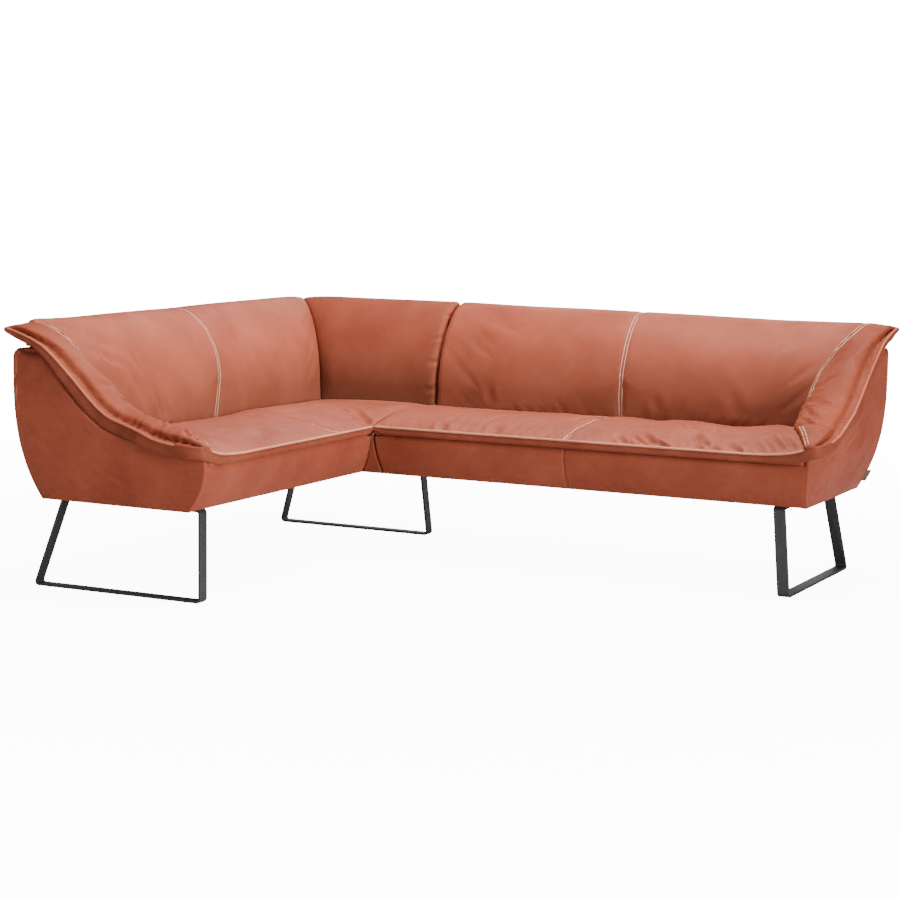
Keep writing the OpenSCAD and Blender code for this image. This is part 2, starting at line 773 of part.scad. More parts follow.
module long_seat_pad() {
    w1 = long_len - arm_w;
    color(leather) long_unit() loft([for (w = pad_stations(long_edge, w1, long_seam))
        seat_ring(w, long_edge, w1, long_seam, seat_lip)]);
}
module long_back_cushion() {
    w1 = long_len - arm_w;
    color(leather) long_unit() loft([for (w = pad_stations(long_edge, w1, long_seam))
        let (full = back_fullness((w - long_edge) / (w1 - long_edge) * 2 - 1)
            - near_seam(w, long_seam) * channel_depth / draw_in)
        [for (p = back_ring(full)) [w, p[0], p[1]]]]);
}
module right_arm_pad() { color(leather) long_unit() arm_pad(long_len); }
module blank_tag() {
    tag_mid = base_depth - panel_t;
    color(zinc) long_unit() along_d(tag_mid, tag_mid + tag_t) difference() {
        translate([long_len, tag_z]) square([end_out(tag_z + tag_w) + tag_d, tag_w]);
        inside_outer(long_len);
    }
}

left_leg_frame();
corner_leg_frame();
right_leg_frame();
floor_glides();
leg_screws();
joining_plates();
joining_screws();
corner_front_rail();
corner_rear_rail();
corner_cross_rails();
corner_side_rail();
corner_joint_rail();
corner_end_rail();
corner_back_posts();
short_top_rail();
corner_top_rail();
short_back_board();
corner_back_board();
corner_webbing();
corner_seat_foam();
left_arm_block();
short_front_panel();
inner_corner_panel();
left_end_panel();
short_rear_panel();
corner_rear_panel();
corner_dust_cover();
corner_seat_pad();
short_back_cushion();
corner_back_cushion();
left_arm_pad();
long_front_rail();
long_rear_rail();
long_cross_rails();
long_joint_rail();
long_end_rail();
long_back_posts();
long_top_rail();
long_back_board();
long_webbing();
long_seat_foam();
right_arm_block();
long_front_panel();
right_end_panel();
long_rear_panel();
long_dust_cover();
long_seat_pad();
long_back_cushion();
right_arm_pad();
blank_tag();
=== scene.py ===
# Looks of the leather corner bench sofa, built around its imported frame. Metres throughout.
# Each unit of the sofa is drawn in its own frame (w, d, z): w runs along the unit towards its arm,
# d runs from the front edge of the base to the rear, and z runs up from the floor.

import math
import random

import bpy
import numpy as np
from mathutils import Matrix, Vector
from mathutils.bvhtree import BVHTree


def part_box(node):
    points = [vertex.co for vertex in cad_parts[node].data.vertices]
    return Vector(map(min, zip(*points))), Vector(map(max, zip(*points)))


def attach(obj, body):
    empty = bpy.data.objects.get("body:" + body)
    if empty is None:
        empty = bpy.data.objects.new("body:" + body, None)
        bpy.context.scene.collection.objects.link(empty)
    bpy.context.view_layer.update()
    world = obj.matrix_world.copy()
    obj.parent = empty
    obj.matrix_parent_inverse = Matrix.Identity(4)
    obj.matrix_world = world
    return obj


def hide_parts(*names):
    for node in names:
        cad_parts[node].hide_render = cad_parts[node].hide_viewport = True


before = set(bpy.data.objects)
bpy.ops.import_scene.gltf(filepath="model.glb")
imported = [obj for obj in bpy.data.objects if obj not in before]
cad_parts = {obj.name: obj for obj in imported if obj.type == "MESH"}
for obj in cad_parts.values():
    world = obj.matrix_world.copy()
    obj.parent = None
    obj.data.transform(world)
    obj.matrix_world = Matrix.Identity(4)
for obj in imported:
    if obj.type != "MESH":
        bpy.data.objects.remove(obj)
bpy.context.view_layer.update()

# Shell panels' thickness, and where each unit ends at the joint between them
PANEL_T = 0.018
CORNER_EDGE = 0.082
LONG_EDGE = 0.088

# Sizes that follow from the frame
cover_low, cover_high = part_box("long_dust_cover")
ORIGIN_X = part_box("corner_dust_cover")[1].x - CORNER_EDGE
ORIGIN_Y = cover_low.y - PANEL_T
BASE_Z = cover_low.z
LONG_LEN = cover_high.x + PANEL_T - ORIGIN_X
SHORT_LEN = ORIGIN_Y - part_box("corner_dust_cover")[0].y + PANEL_T
DEPTH = cover_high.y + PANEL_T - ORIGIN_Y
FRONT_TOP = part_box("long_front_panel")[1].z
SHELL_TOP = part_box("long_rear_panel")[1].z
BACK_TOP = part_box("long_back_cushion")[1].z
PAD_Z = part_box("long_seat_pad")[0].z

# Shell
FRONT_FLARE = 0.080
FRONT_FLARE_TOP = 0.460
END_FLARE = 0.080
REAR_FLARE = 0.050
FLARE_TOP = 0.680

# Seat and back
SEAT_D = 0.386
SEAT_LIP = 0.092
PIPE_Z = PAD_Z + 0.026
SEAT_REAR_Z = PAD_Z + 0.050
SEAT_CROWN = 0.026
LEAN_Z = 0.562
LEAN_D = 0.199
LEAN_POWER = 1.75
LIP_FALL = 0.056
LIP_D = 0.027
BOARD_D = 0.4937
CROWN_D = SEAT_D + LEAN_D

# Arms: guide points from front to rear. Each is (u, d, z), u being beyond the base's end. A scratch script
# solved for the two lines by matching both arms in the photo. The points were set along those lines, then
# moved until the render agreed.
# The rim carries the arm's piping. The fold is the pad's inner edge, over the seat and on the back.
ARM_RIM = [(0.048, -0.084, 0.499), (0.066, -0.060, 0.504), (0.073, -0.020, 0.507), (0.073, 0.030, 0.509),
           (0.075, 0.085, 0.521), (0.078, 0.130, 0.540), (0.075, 0.185, 0.557), (0.072, 0.243, 0.575),
           (0.072, 0.285, 0.601), (0.075, 0.320, 0.633), (0.079, 0.360, 0.675), (0.084, 0.400, 0.716),
           (0.089, 0.440, 0.755), (0.092, 0.478, 0.785), (0.094, 0.515, 0.804), (0.098, 0.555, 0.820),
           (0.101, 0.582, 0.829), (0.104, 0.600, 0.834), (0.106, 0.611, 0.837)]
ARM_FOLD = [(0.020, -0.090, 0.495), (0.004, -0.062, 0.507), (-0.020, -0.010, 0.517), (-0.048, 0.045, 0.527),
            (-0.070, 0.100, 0.523), (-0.090, 0.150, 0.525), (-0.102, 0.205, 0.534), (-0.108, 0.255, 0.553),
            (-0.110, 0.295, 0.574), (-0.106, 0.330, 0.606), (-0.099, 0.368, 0.649), (-0.094, 0.412, 0.683),
            (-0.080, 0.438, 0.715), (-0.062, 0.460, 0.755), (-0.038, 0.477, 0.792), (-0.012, 0.500, 0.825),
            (0.004, 0.535, 0.843), (0.014, 0.572, 0.848), (0.034, 0.598, 0.844)]
ARM_PUFF = [0.008, 0.017, 0.026, 0.031, 0.034, 0.035, 0.035, 0.035, 0.036, 0.037, 0.038, 0.038, 0.036, 0.031,
            0.024, 0.017, 0.011, 0.006, 0.002]
ARM_DEPTH = [0.25, 0.45, 0.75, 0.95] + [1.0] * 9 + [0.85, 0.6, 0.42, 0.32, 0.26, 0.18]

LONG_SEAM = LONG_LEN / 2
SHORT_SEAM = (SHORT_LEN - 0.046 - SEAT_D) / 2
SEAT_REACH = 0.012
BACK_REACH = 0.010


def mix(a, b, t):
    return a + (b - a) * t


def clamp(t):
    return np.clip(t, 0.0, 1.0)


def smooth(t):
    t = clamp(t)
    return t * t * (3 - 2 * t)


def swell(t):
    return 1 - (1 - clamp(t)) ** 2


def edge_round(distance, radius):
    """How far a surface falls away at a distance from a rounded edge."""
    near = 1 - clamp(distance / radius)
    return radius * (1 - np.sqrt(1 - near ** 2))


def front_out(z):
    return FRONT_FLARE * swell((z - BASE_Z) / (FRONT_FLARE_TOP - BASE_Z))


def rear_out(z):
    return REAR_FLARE * swell((z - BASE_Z) / (FLARE_TOP - BASE_Z))


def end_out(z, d=-1.0):
    t = clamp((z - BASE_Z) / (FLARE_TOP - BASE_Z))
    reach = END_FLARE * mix(0.60, 1.0, smooth((d + 0.05) / 0.25))
    return reach * (1 - (1 - t) ** mix(2.0, 2.9, smooth(d / 0.5)))


def curve(points, s):
    """A smooth curve through guide points, at s counted in points."""
    points = np.asarray(points, float)
    if points.ndim == 1:
        points = points[:, None]
    padded = np.concatenate([2 * points[:1] - points[1:2], points, 2 * points[-1:] - points[-2:-1]])
    s = np.atleast_1d(np.asarray(s, float))
    i = np.clip(s.astype(int), 0, len(points) - 2)
    t = (s - i)[:, None]
    p0, p1, p2, p3 = (padded[i + k] for k in range(4))
    return 0.5 * (2 * p1 + (p2 - p0) * t + (2 * p0 - 5 * p1 + 4 * p2 - p3) * t ** 2
                  + (3 * p1 - p0 - 3 * p2 + p3) * t ** 3)


def unit_vectors(v):
    return v / np.maximum(np.linalg.norm(v, axis=-1, keepdims=True), 1e-9)


class Unit:
    """One of the two units, and how its own frame lies in the sofa's frame."""

    def __init__(self, corner):
        self.corner = corner

    def place(self, points):
        w, d, z = np.asarray(points, float).T
        if self.corner:
            return np.stack([ORIGIN_X - d, ORIGIN_Y - w, z], 1)
        return np.stack([ORIGIN_X + w, ORIGIN_Y + d, z], 1)


LONG = Unit(False)
CORNER = Unit(True)


# Materials

def new_material(name):
    material = bpy.data.materials.new(name)
    material.use_nodes = True
    tree = material.node_tree
    shader = next(n for n in tree.nodes if n.type == "BSDF_PRINCIPLED")
    return material, tree, shader


def node(tree, kind, inputs=(), **values):
    made = tree.nodes.new("ShaderNode" + kind)
    for key, value in values.items():
        setattr(made, key, value)
    for key, value in dict(inputs).items():
        if isinstance(value, bpy.types.NodeSocket):
            tree.links.new(value, made.inputs[key])
        else:
            made.inputs[key].default_value = value
    return made


def object_place(tree):
    return node(tree, "TexCoord").outputs["Object"]


def ramp(tree, factor, stops):
    made = node(tree, "ValToRGB", {"Fac": factor})
    elements = made.color_ramp.elements
    while len(elements) < len(stops):
        elements.new(0.5)
    for element, (place, colour) in zip(elements, stops):
        element.position = place
        element.color = (*colour, 1) if len(colour) == 3 else (colour[0],) * 3 + (1,)
    return made.outputs["Color"]


def noise(tree, scale, detail=3.0, rough=0.5, stretch=None, output="Fac"):
    coords = object_place(tree)
    if stretch:
        coords = node(tree, "Mapping", {"Vector": coords, "Scale": stretch}).outputs["Vector"]
    made = node(tree, "TexNoise",
                {"Vector": coords, "Scale": scale, "Detail": detail, "Roughness": rough})
    return made.outputs[output]


def bump(tree, height, distance, strength=1.0, normal=None):
    inputs = {"Height": height, "Distance": distance, "Strength": strength}
    if normal:
        inputs["Normal"] = normal
    return node(tree, "Bump", inputs).outputs["Normal"]


def mix_colour(tree, factor, a, b, blend="MIX"):
    made = node(tree, "Mix", data_type="RGBA", blend_type=blend)
    for index, value in ((0, factor), (6, a), (7, b)):
        if isinstance(value, bpy.types.NodeSocket):
            tree.links.new(value, made.inputs[index])
        elif index == 0:
            made.inputs[index].default_value = value
        else:
            made.inputs[index].default_value = (*value, 1)
    return made.outputs[2]


def leather(name, tone, gloss=0.06, painted_foot_shade=None, clouds=1.0):
    """Soft pull-up leather: clouded colour, paler over ridges where it is stretched and darker in creases as
    painted shade, fine pores.

    The foot tone darkens the part of a back cushion near the seat as painted shade, and clouds scales the
    step between tones."""
    dark, mid, light = (tuple(c * (1 + clouds * k) for c, k in zip(tone, steps))
                        for steps in ((-0.16, -0.19, -0.21), (0, 0, 0), (0.16, 0.23, 0.27)))
    material, tree, shader = new_material(name)
    cloud = ramp(tree, noise(tree, 5.0, 4.0, 0.55), [(0.30, dark), (0.52, mid), (0.75, light)])
    speck = ramp(tree, noise(tree, 420.0, 2.0, 0.6), [(0.35, (0.90,)), (0.6, (1.0,))])
    # Pointiness darkens hollows and creases down to 0.72: painted shade in the creases, and pull-up leather
    # paling where it is stretched over ridges.
    crease_shade_and_stretch = ramp(tree, node(tree, "NewGeometry").outputs["Pointiness"],
                [(0.42, (0.72,)), (0.50, (0.86,)), (0.58, (1.0,))])
    colour = mix_colour(tree, 1.0, cloud, speck, "MULTIPLY")
    colour = mix_colour(tree, 1.0, colour, crease_shade_and_stretch, "MULTIPLY")
    # Painted shade at a back cushion's foot: the tone darkens from 0.74 m above the floor down to 0.50 m.
    if painted_foot_shade:
        height = node(tree, "SeparateXYZ", {"Vector": object_place(tree)}).outputs["Z"]
        foot_shade_ramp = ramp(tree, height, [(0.50, painted_foot_shade), (0.74, (1.0, 1.0, 1.0))])
        colour = mix_colour(tree, 1.0, colour, foot_shade_ramp, "MULTIPLY")
    tree.links.new(colour, shader.inputs["Base Color"])
    rough = ramp(tree, noise(tree, 14.0, 4.0, 0.6), [(0.3, (0.52,)), (0.7, (0.66,))])
    tree.links.new(rough, shader.inputs["Roughness"])
    pores = node(tree, "TexVoronoi",
                 {"Vector": object_place(tree), "Scale": 620.0}, feature="SMOOTH_F1").outputs["Distance"]
    normal = bump(tree, pores, 0.00022, 0.5)
    normal = bump(tree, noise(tree, 160.0, 4.0, 0.6), 0.0004, 0.4, normal)
    normal = bump(tree, noise(tree, 22.0, 3.0, 0.5), 0.0018, 0.35, normal)
    tree.links.new(normal, shader.inputs["Normal"])
    shader.inputs["Specular IOR Level"].default_value = gloss
    return material


def plain(name, dark, light, roughness, scale, stretch=None, metallic=0.0, depth=0.0003):
    """A finish with fine colour variation and surface relief of one scale."""
    material, tree, shader = new_material(name)
    grain = noise(tree, scale, 4.0, 0.6, stretch)
    tree.links.new(ramp(tree, grain, [(0.3, dark), (0.7, light)]), shader.inputs["Base Color"])
    shade = ramp(tree, grain, [(0.2, (roughness * 0.88,)), (0.8, (min(1.0, roughness * 1.12),))])
    tree.links.new(shade, shader.inputs["Roughness"])
    tree.links.new(bump(tree, grain, depth, 0.6), shader.inputs["Normal"])
    shader.inputs["Metallic"].default_value = metallic
    return material


def woven(name, dark, light, threads):
    """Plain woven cloth: crossed threads of one pitch."""
    material, tree, shader = new_material(name)
    coords = object_place(tree)
    bands = [node(tree, "TexWave", {"Vector": coords, "Scale": threads, "Distortion": 0.4},
                  bands_direction=axis).outputs["Fac"] for axis in ("X", "Y")]
    weave = node(tree, "Math", {0: bands[0], 1: bands[1]}, operation="MULTIPLY").outputs[0]
    tree.links.new(ramp(tree, weave, [(0.1, dark), (0.8, light)]), shader.inputs["Base Color"])
    tree.links.new(bump(tree, weave, 0.0004, 0.8), shader.inputs["Normal"])
    shader.inputs["Roughness"].default_value = 0.9
    return material


def timber(name, dark, light, scale):
    """Sawn wood with its grain along the longest pieces."""
    material, tree, shader = new_material(name)
    coords = object_place(tree)
    spread = node(tree, "Mapping", {"Vector": coords, "Scale": (1.0, 6.0, 9.0)}).outputs["Vector"]
    rings = node(tree, "TexWave", {"Vector": spread, "Scale": scale, "Distortion": 6.0,
                                            "Detail": 3.0}, bands_direction="Z").outputs["Fac"]
    tree.links.new(ramp(tree, rings, [(0.2, dark), (0.8, light)]), shader.inputs["Base Color"])
    tree.links.new(bump(tree, rings, 0.0004, 0.4), shader.inputs["Normal"])
    shader.inputs["Roughness"].default_value = 0.6
    return material


HIDE = (0.242, 0.0530, 0.0272)
LEATHER = leather("cognac_leather", HIDE)
# A darker copy of the hide: painted shade on the arms and the right end panel, partly also the tone that
# differs from piece to piece.
ARM_SHADED_LEATHER = leather("cognac_leather_arms", (0.198, 0.0422, 0.0212))
# The backs' hide darkens towards the seat as painted shade.
BACK_LEATHER = leather("cognac_leather_backs", HIDE, gloss=0.10, painted_foot_shade=(0.72, 0.96, 1.0))
# The seat's tone is a touch less saturated than the hide: painted sheen. Its gloss is real specular.
SEAT_SHEEN_LEATHER = leather("cognac_leather_seat", (0.239, 0.0555, 0.0298), gloss=0.11)
# A darker copy of the hide as painted shade, for the bands below the piping.
EDGE_SHADED_LEATHER = leather("cognac_leather_edges", (0.166, 0.0372, 0.0195))
# A darker copy of the hide, painted shade of the inside corner, with more painted shade at its foot.
CORNER_SHADED_LEATHER = leather("cognac_leather_corner", (0.195, 0.0430, 0.0225), painted_foot_shade=(0.66, 0.96, 1.0))
# Lighter than the hide: painted highlight along the seat's piping.
PIPING = leather("piping_leather", (0.43, 0.172, 0.100), clouds=0.8)
# Lighter than the hide: painted highlight along the arm's piping.
ARM_PIPING = leather("arm_piping_leather", (0.33, 0.09, 0.05))
THREAD = plain("peach_thread", (0.54, 0.36, 0.24), (0.62, 0.47, 0.34), 0.6, 900.0)
STEEL = plain("black_powder_coat", (0.0050, 0.0056, 0.0066), (0.009, 0.0095, 0.0105), 0.55, 700.0)
ZINC = plain("zinc_plated_steel", (0.42, 0.43, 0.44), (0.62, 0.63, 0.64), 0.34, 180.0, metallic=1.0)
PLASTIC = plain("black_felted_plastic", (0.03, 0.03, 0.03), (0.06, 0.06, 0.06), 0.8, 500.0)
TIMBER = timber("planed_beech", (0.44, 0.28, 0.15), (0.66, 0.47, 0.28), 8.0)
PLY = timber("birch_plywood", (0.50, 0.35, 0.19), (0.68, 0.52, 0.32), 14.0)
FOAM = plain("seat_foam", (0.78, 0.72, 0.50), (0.88, 0.84, 0.64), 0.95, 450.0, depth=0.001)
WEBBING = woven("elastic_webbing", (0.01, 0.01, 0.012), (0.06, 0.06, 0.07), 300.0)
LINING = woven("black_lining", (0.008, 0.008, 0.009), (0.035, 0.035, 0.04), 420.0)
TAG = woven("blank_tag_cloth", (0.045, 0.038, 0.034), (0.11, 0.095, 0.085), 500.0)

NODE_FINISHES = {
    "leg_frame": (STEEL, "black_steel"), "glides": (PLASTIC, "glide_plastic"),
    "screws": (ZINC, "zinc_steel"), "plates": (ZINC, "zinc_steel"),
    "end_rail": (PLY, "plywood"), "board": (PLY, "plywood"),
    "rail": (TIMBER, "frame_timber"), "posts": (TIMBER, "frame_timber"),
    "webbing": (WEBBING, "webbing"), "foam": (FOAM, "foam"), "block": (FOAM, "foam"),
    "dust_cover": (LINING, "dust_cloth"), "tag": (TAG, "tag_cloth"),
}


def finish_nodes():
    """Gives every carried-over CAD node its finish, and breaks the flat bars' sharp edges."""
    for name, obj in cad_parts.items():
        finish = next((f for key, f in NODE_FINISHES.items() if key in name), (LEATHER, "leather"))
        obj.data.materials.clear()
        obj.data.materials.append(finish[0])
        if "leg_frame" in name:
            weld = obj.modifiers.new("weld", "WELD")
            weld.merge_threshold = 0.00005
            bevel = obj.modifiers.new("bevel", "BEVEL")
            bevel.width = 0.0009
            bevel.segments = 2
            bevel.limit_method = "ANGLE"
            bevel.angle_limit = math.radians(40)


# Skins: grids of points, rows along a piece and columns round its section

def resample(points, count):
    """Points evenly spaced along a polyline."""
    points = np.asarray(points, float)
    along = np.concatenate([[0], np.cumsum(np.linalg.norm(np.diff(points, axis=0), axis=1))])
    places = np.linspace(0, along[-1], count)
    return np.stack([np.interp(places, along, column) for column in points.T], 1)


def halve(grid, axis, closed):
    """Twice the points along one axis, on a smooth curve through the old ones."""
    rows = np.moveaxis(grid, axis, 0)
    if closed:
        ring = np.concatenate([rows[-1:], rows, rows[:2]])
    else:
        ring = np.concatenate([2 * rows[:1] - rows[1:2], rows, 2 * rows[-1:] - rows[-2:-1]])
    between = (9 * (ring[1:-2] + ring[2:-1]) - ring[:-3] - ring[3:]) / 16
    old = ring[1:-2]
    out = np.empty((2 * len(old), *old.shape[1:]))
    out[0::2] = old
    out[1::2] = between
    if not closed:
        out = np.concatenate([out, rows[-1:]])
    return np.moveaxis(out, 0, axis)


def skin_normals(grid, closed=True):
    along = np.gradient(grid, axis=0)
    if closed:
        across = np.roll(grid, -1, 1) - np.roll(grid, 1, 1)
    else:
        across = np.gradient(grid, axis=1)
    return unit_vectors(np.cross(along, across))


def skin_faces(rows, columns, closed=True, capped=True):
    wrap = columns if closed else columns - 1
    faces = [(i * columns + j, (i + 1) * columns + j,
              (i + 1) * columns + (j + 1) % columns, i * columns + (j + 1) % columns)
             for i in range(rows - 1) for j in range(wrap)]
    if capped:
        faces.append(tuple(range(columns)))
        faces.append(tuple((rows - 1) * columns + j for j in reversed(range(columns))))
    return faces


def swell_as_cloth(grid, held, pressure, cap, growth=0.004, stiffness=22.0):
    """Lets a closed skin fill out like a stuffed cover. Held points stay where they are."""
    shape = grid.shape
    mesh = bpy.data.meshes.new("sim")
    mesh.from_pydata(grid.reshape(-1, 3).tolist(), [], skin_faces(shape[0], shape[1]))
    obj = bpy.data.objects.new("sim", mesh)
    bpy.context.scene.collection.objects.link(obj)
    group = obj.vertex_groups.new(name="held")
    group.add(np.flatnonzero(held.ravel()).tolist(), 1.0, "REPLACE")
    cloth = obj.modifiers.new("cloth", "CLOTH")
    settings = cloth.settings
    settings.quality = 5
    settings.mass = 0.3
    settings.tension_stiffness = stiffness
    settings.compression_stiffness = stiffness
    settings.shear_stiffness = stiffness / 2
    settings.bending_stiffness = 0.8
    settings.vertex_group_mass = "held"
    settings.use_pressure = True
    settings.uniform_pressure_force = pressure
    settings.shrink_min = -growth
    settings.effector_weights.gravity = 0
    cloth.collision_settings.use_collision = False
    for number in range(1, 21):
        bpy.context.scene.frame_set(number)
    evaluated = obj.evaluated_get(bpy.context.evaluated_depsgraph_get())
    moved = np.empty(len(mesh.vertices) * 3)
    evaluated.data.vertices.foreach_get("co", moved)
    bpy.context.scene.frame_set(1)
    bpy.data.objects.remove(obj)
    move = moved.reshape(shape) - grid
    length = np.linalg.norm(move, axis=2, keepdims=True)
    return grid + move * np.minimum(1, cap / np.maximum(length, 1e-9))


def surface_tree(grid, closed=True):
    """A skin's faces, for finding places on it."""
    return BVHTree.FromPolygons([Vector(p) for p in grid.reshape(-1, 3)],
                                skin_faces(*grid.shape[:2], closed=closed, capped=closed))


def distance_to_path(points, path):
    """Distance of each point to a polyline, and how far along it the nearest place is, from 0 to 1."""
    points = points.reshape(-1, 3)
    path = np.asarray(path, float)
    best = np.full(len(points), 9.0)
    where = np.zeros(len(points))
    count = len(path) - 1
    for i in range(count):
        a, b = path[i], path[i + 1]
        step = b - a
        t = clamp(((points - a) @ step) / max(step @ step, 1e-12))
        gap = np.linalg.norm(points - a - t[:, None] * step, axis=1)
        closer = gap < best
        best[closer] = gap[closer]
        where[closer] = ((i + t) / count)[closer]
    return best, where


def crease(grid, path, depth, width, fade=True, ridge=0.45, closed=True):
    """Presses a fold into a skin along a path, with a low ridge on both sides of it."""
    gap, where = distance_to_path(grid, path)
    reach = gap < 4 * width
    if not reach.any():
        return grid
    r = gap / width
    profile = -np.exp(-r ** 2) + ridge * np.exp(-((r - 1.9) / 0.9) ** 2)
    if fade:
        profile = profile * np.sin(np.pi * (0.06 + 0.88 * where)) ** 0.8
    push = np.where(reach, depth * profile, 0).reshape(grid.shape[:2])
    return grid + skin_normals(grid, closed) * push[:, :, None]


def channel(grid, line, dip, cut):
    """Presses a sewn seam into a skin: a wide dip with a fine cut along its middle."""
    grid = crease(grid, line, dip, 0.012, fade=False, ridge=0.1)
    return crease(grid, line, cut, 0.0022, fade=False, ridge=0.3)


def fold_in(grid, folds, closed=True):
    """Presses folds into a skin. Each is (guide points, depth, width); the points are moved onto the skin."""
    if not folds:
        return grid
    tree = surface_tree(grid, closed)
    for guide, depth, width in folds:
        line = curve(guide, np.linspace(0, len(guide) - 1, 5 * len(guide)))
        line = np.array([tree.find_nearest(Vector(p))[0] for p in line])
        grid = crease(grid, line, depth, width, closed=closed)
    return grid


def ripple(s, seed):
    """An uneven wave from -1 to 1, with about one crest in each unit of s."""
    rng = random.Random(seed)
    phases = [rng.uniform(0, 6.28) for _ in range(4)]
    return (0.6 * np.sin(6.28 * s + phases[0] + 1.6 * np.sin(1.7 * s + phases[1]))
            + 0.4 * np.sin(3.7 * s + phases[2] + 1.2 * np.sin(2.3 * s + phases[3])))


def enclosed_volume(mesh):
    """Volume inside a closed mesh, negative if its faces look inwards."""
    mesh.calc_loop_triangles()
    corners = np.empty(3 * len(mesh.loop_triangles), np.int32)
    mesh.loop_triangles.foreach_get("vertices", corners)
    points = np.empty(3 * len(mesh.vertices), np.float32)
    mesh.vertices.foreach_get("co", points)
    a, b, c = points.reshape(-1, 3).astype(float)[corners.reshape(-1, 3)].swapaxes(0, 1)
    return (a * np.cross(b, c)).sum() / 6


def add_piece(name, unit, points, faces, material, replaced=()):
    """A finished piece in the sofa's frame, riding on its one body."""
    mesh = bpy.data.meshes.new(name)
    mesh.from_pydata(unit.place(np.asarray(points).reshape(-1, 3)).tolist(), [], faces)
    mesh.polygons.foreach_set("use_smooth", [True] * len(mesh.polygons))
    mesh.validate()
    if enclosed_volume(mesh) < 0:
        mesh.flip_normals()
    obj = bpy.data.objects.new(name, mesh)
    bpy.context.scene.collection.objects.link(obj)
    obj.data.materials.append(material)
    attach(obj, "root")
    if replaced:
        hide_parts(*replaced)
    return obj


class Skin:
    """A closed skin in a unit's frame, with what is needed to sew on it."""

    def __init__(self, name, unit, grid, replaced, fill, material):
        points = grid.reshape(-1, 3)
        faces = skin_faces(*grid.shape[:2])
        self.piece = add_piece(name, unit, points, faces, material, replaced)
        self.tree = surface_tree(grid)

    def nearest(self, point):
        return self.tree.find_nearest(Vector(point))[:2]


STITCH_PITCH = 0.0085
STITCH_LEN = 0.0068
THREAD_R = 0.0012


def stitch_template(sides=6):
    """One stitch along X: rings of a capsule, as points and faces."""
    rings = [(-0.5, 0.0), (-0.42, 0.7), (-0.2, 1.0), (0.2, 1.0), (0.42, 0.7), (0.5, 0.0)]
    points, faces = [], []
    for x, size in rings:
        for k in range(sides if size else 1):
            angle = 2 * math.pi * k / sides
            radius = size * THREAD_R
            points.append((x * STITCH_LEN, radius * math.cos(angle), radius * math.sin(angle)))
    starts = [0] + [1 + sides * i for i in range(5)]
    for k in range(sides):
        following = (k + 1) % sides
        faces.append((0, starts[1] + following, starts[1] + k))
        for a, b in zip(starts[1:4], starts[2:5]):
            faces.append((a + k, a + following, b + following, b + k))
        faces.append((starts[5], starts[4] + k, starts[4] + following))
    return np.array(points), faces


def sew(name, seams, unit):
    """Rows of real stitches. Each seam is (skin, path, sideways offsets)."""
    template, template_faces = stitch_template()
    points, faces = [], []
    for skin, path, offsets in seams:
        count = max(3, int(np.linalg.norm(np.diff(path, axis=0), axis=1).sum() / STITCH_PITCH))
        line = resample(path, count + 1)
        for offset in offsets:
            places = []
            for i, point in enumerate(line):
                place, normal = skin.nearest(point)
                ahead = Vector(line[min(i + 1, count)] - line[max(i - 1, 0)]).normalized()
                side = normal.cross(ahead).normalized()
                place, normal = skin.nearest(place + side * offset)
                places.append((place, normal))
            for (a, na), (b, nb) in zip(places, places[1:]):
                along = b - a
                if along.length < 0.003:
                    continue
                along.normalize()
                normal = (na + nb).normalized()
                side = normal.cross(along).normalized()
                centre = (a + b) / 2 + normal * THREAD_R * 0.45
                axes = np.array([along, side, normal.cross(side) * -1])
                base = sum(len(p) for p in points)
                points.append(template @ axes + np.array(centre))
                faces += [tuple(base + k for k in face) for face in template_faces]
    return add_piece(name, unit, np.concatenate(points), faces, THREAD)


def tube(path, radius, sides=10):
    """Points and faces of a round cord along a path, closed at both ends."""
    path = np.asarray(path, float)
    radius = np.broadcast_to(radius, (len(path),))
    tangent = np.gradient(path, axis=0)
    tangent /= np.linalg.norm(tangent, axis=1, keepdims=True)
    side = np.cross(tangent, [0.0, 0.0, 1.0])
    side[np.linalg.norm(side, axis=1) < 1e-3] = [1.0, 0.0, 0.0]
    side /= np.linalg.norm(side, axis=1, keepdims=True)
    up = np.cross(side, tangent)
    angles = np.linspace(0, 2 * math.pi, sides, endpoint=False)
    rings = (path[:, None] + radius[:, None, None] * (np.cos(angles)[None, :, None] * side[:, None]
             + np.sin(angles)[None, :, None] * up[:, None]))
    return rings, skin_faces(len(path), sides)


def bead(name, unit, path, radius, material):
    """Leather piping along a path, drawn in at its ends."""
    length = np.linalg.norm(np.diff(path, axis=0), axis=1).sum()
    line = resample(path, max(8, int(length / 0.005)))
    ends = np.minimum(np.arange(len(line)), np.arange(len(line))[::-1])
    rings, faces = tube(line, radius * np.sqrt(clamp((ends + 0.3) / 3)))
    return add_piece(name, unit, rings, faces, material)


# Seat pads

def stations(low, high, seams, step=0.012, fine=0.005):
    """Places along a pad, closer together near its ends and seams."""
    places = [low]
    while places[-1] < high - 1e-6:
        here = places[-1]
        near = min([abs(here - s) for s in seams] + [here - low, high - here])
        places.append(here + mix(fine, step, clamp(near / 0.05)))
    places = np.array(places)
    return low + (places - low) * (high - low) / (places[-1] - low)


SEAT_COLUMNS = 46
SEAT_ABOVE = 0.6


def edge_rise(u):
    """How much the seat's front edge climbs as it nears the arm."""
    place = np.interp(u, [-0.17, -0.10, -0.035, 0.01, 0.05], range(5))
    return curve([0.0, 0.003, 0.010, 0.022, 0.024], place)[0, 0]


def seat_top(t):
    """Height of the seat from its piped edge, where t is 0, to the back."""
    crown = SEAT_CROWN * swell(t / 0.42) * np.cos(np.pi / 2 * clamp(t * 1.02 - 0.02) ** 2.2) ** 0.8
    return mix(PIPE_Z, SEAT_REAR_Z, clamp(t)) + crown


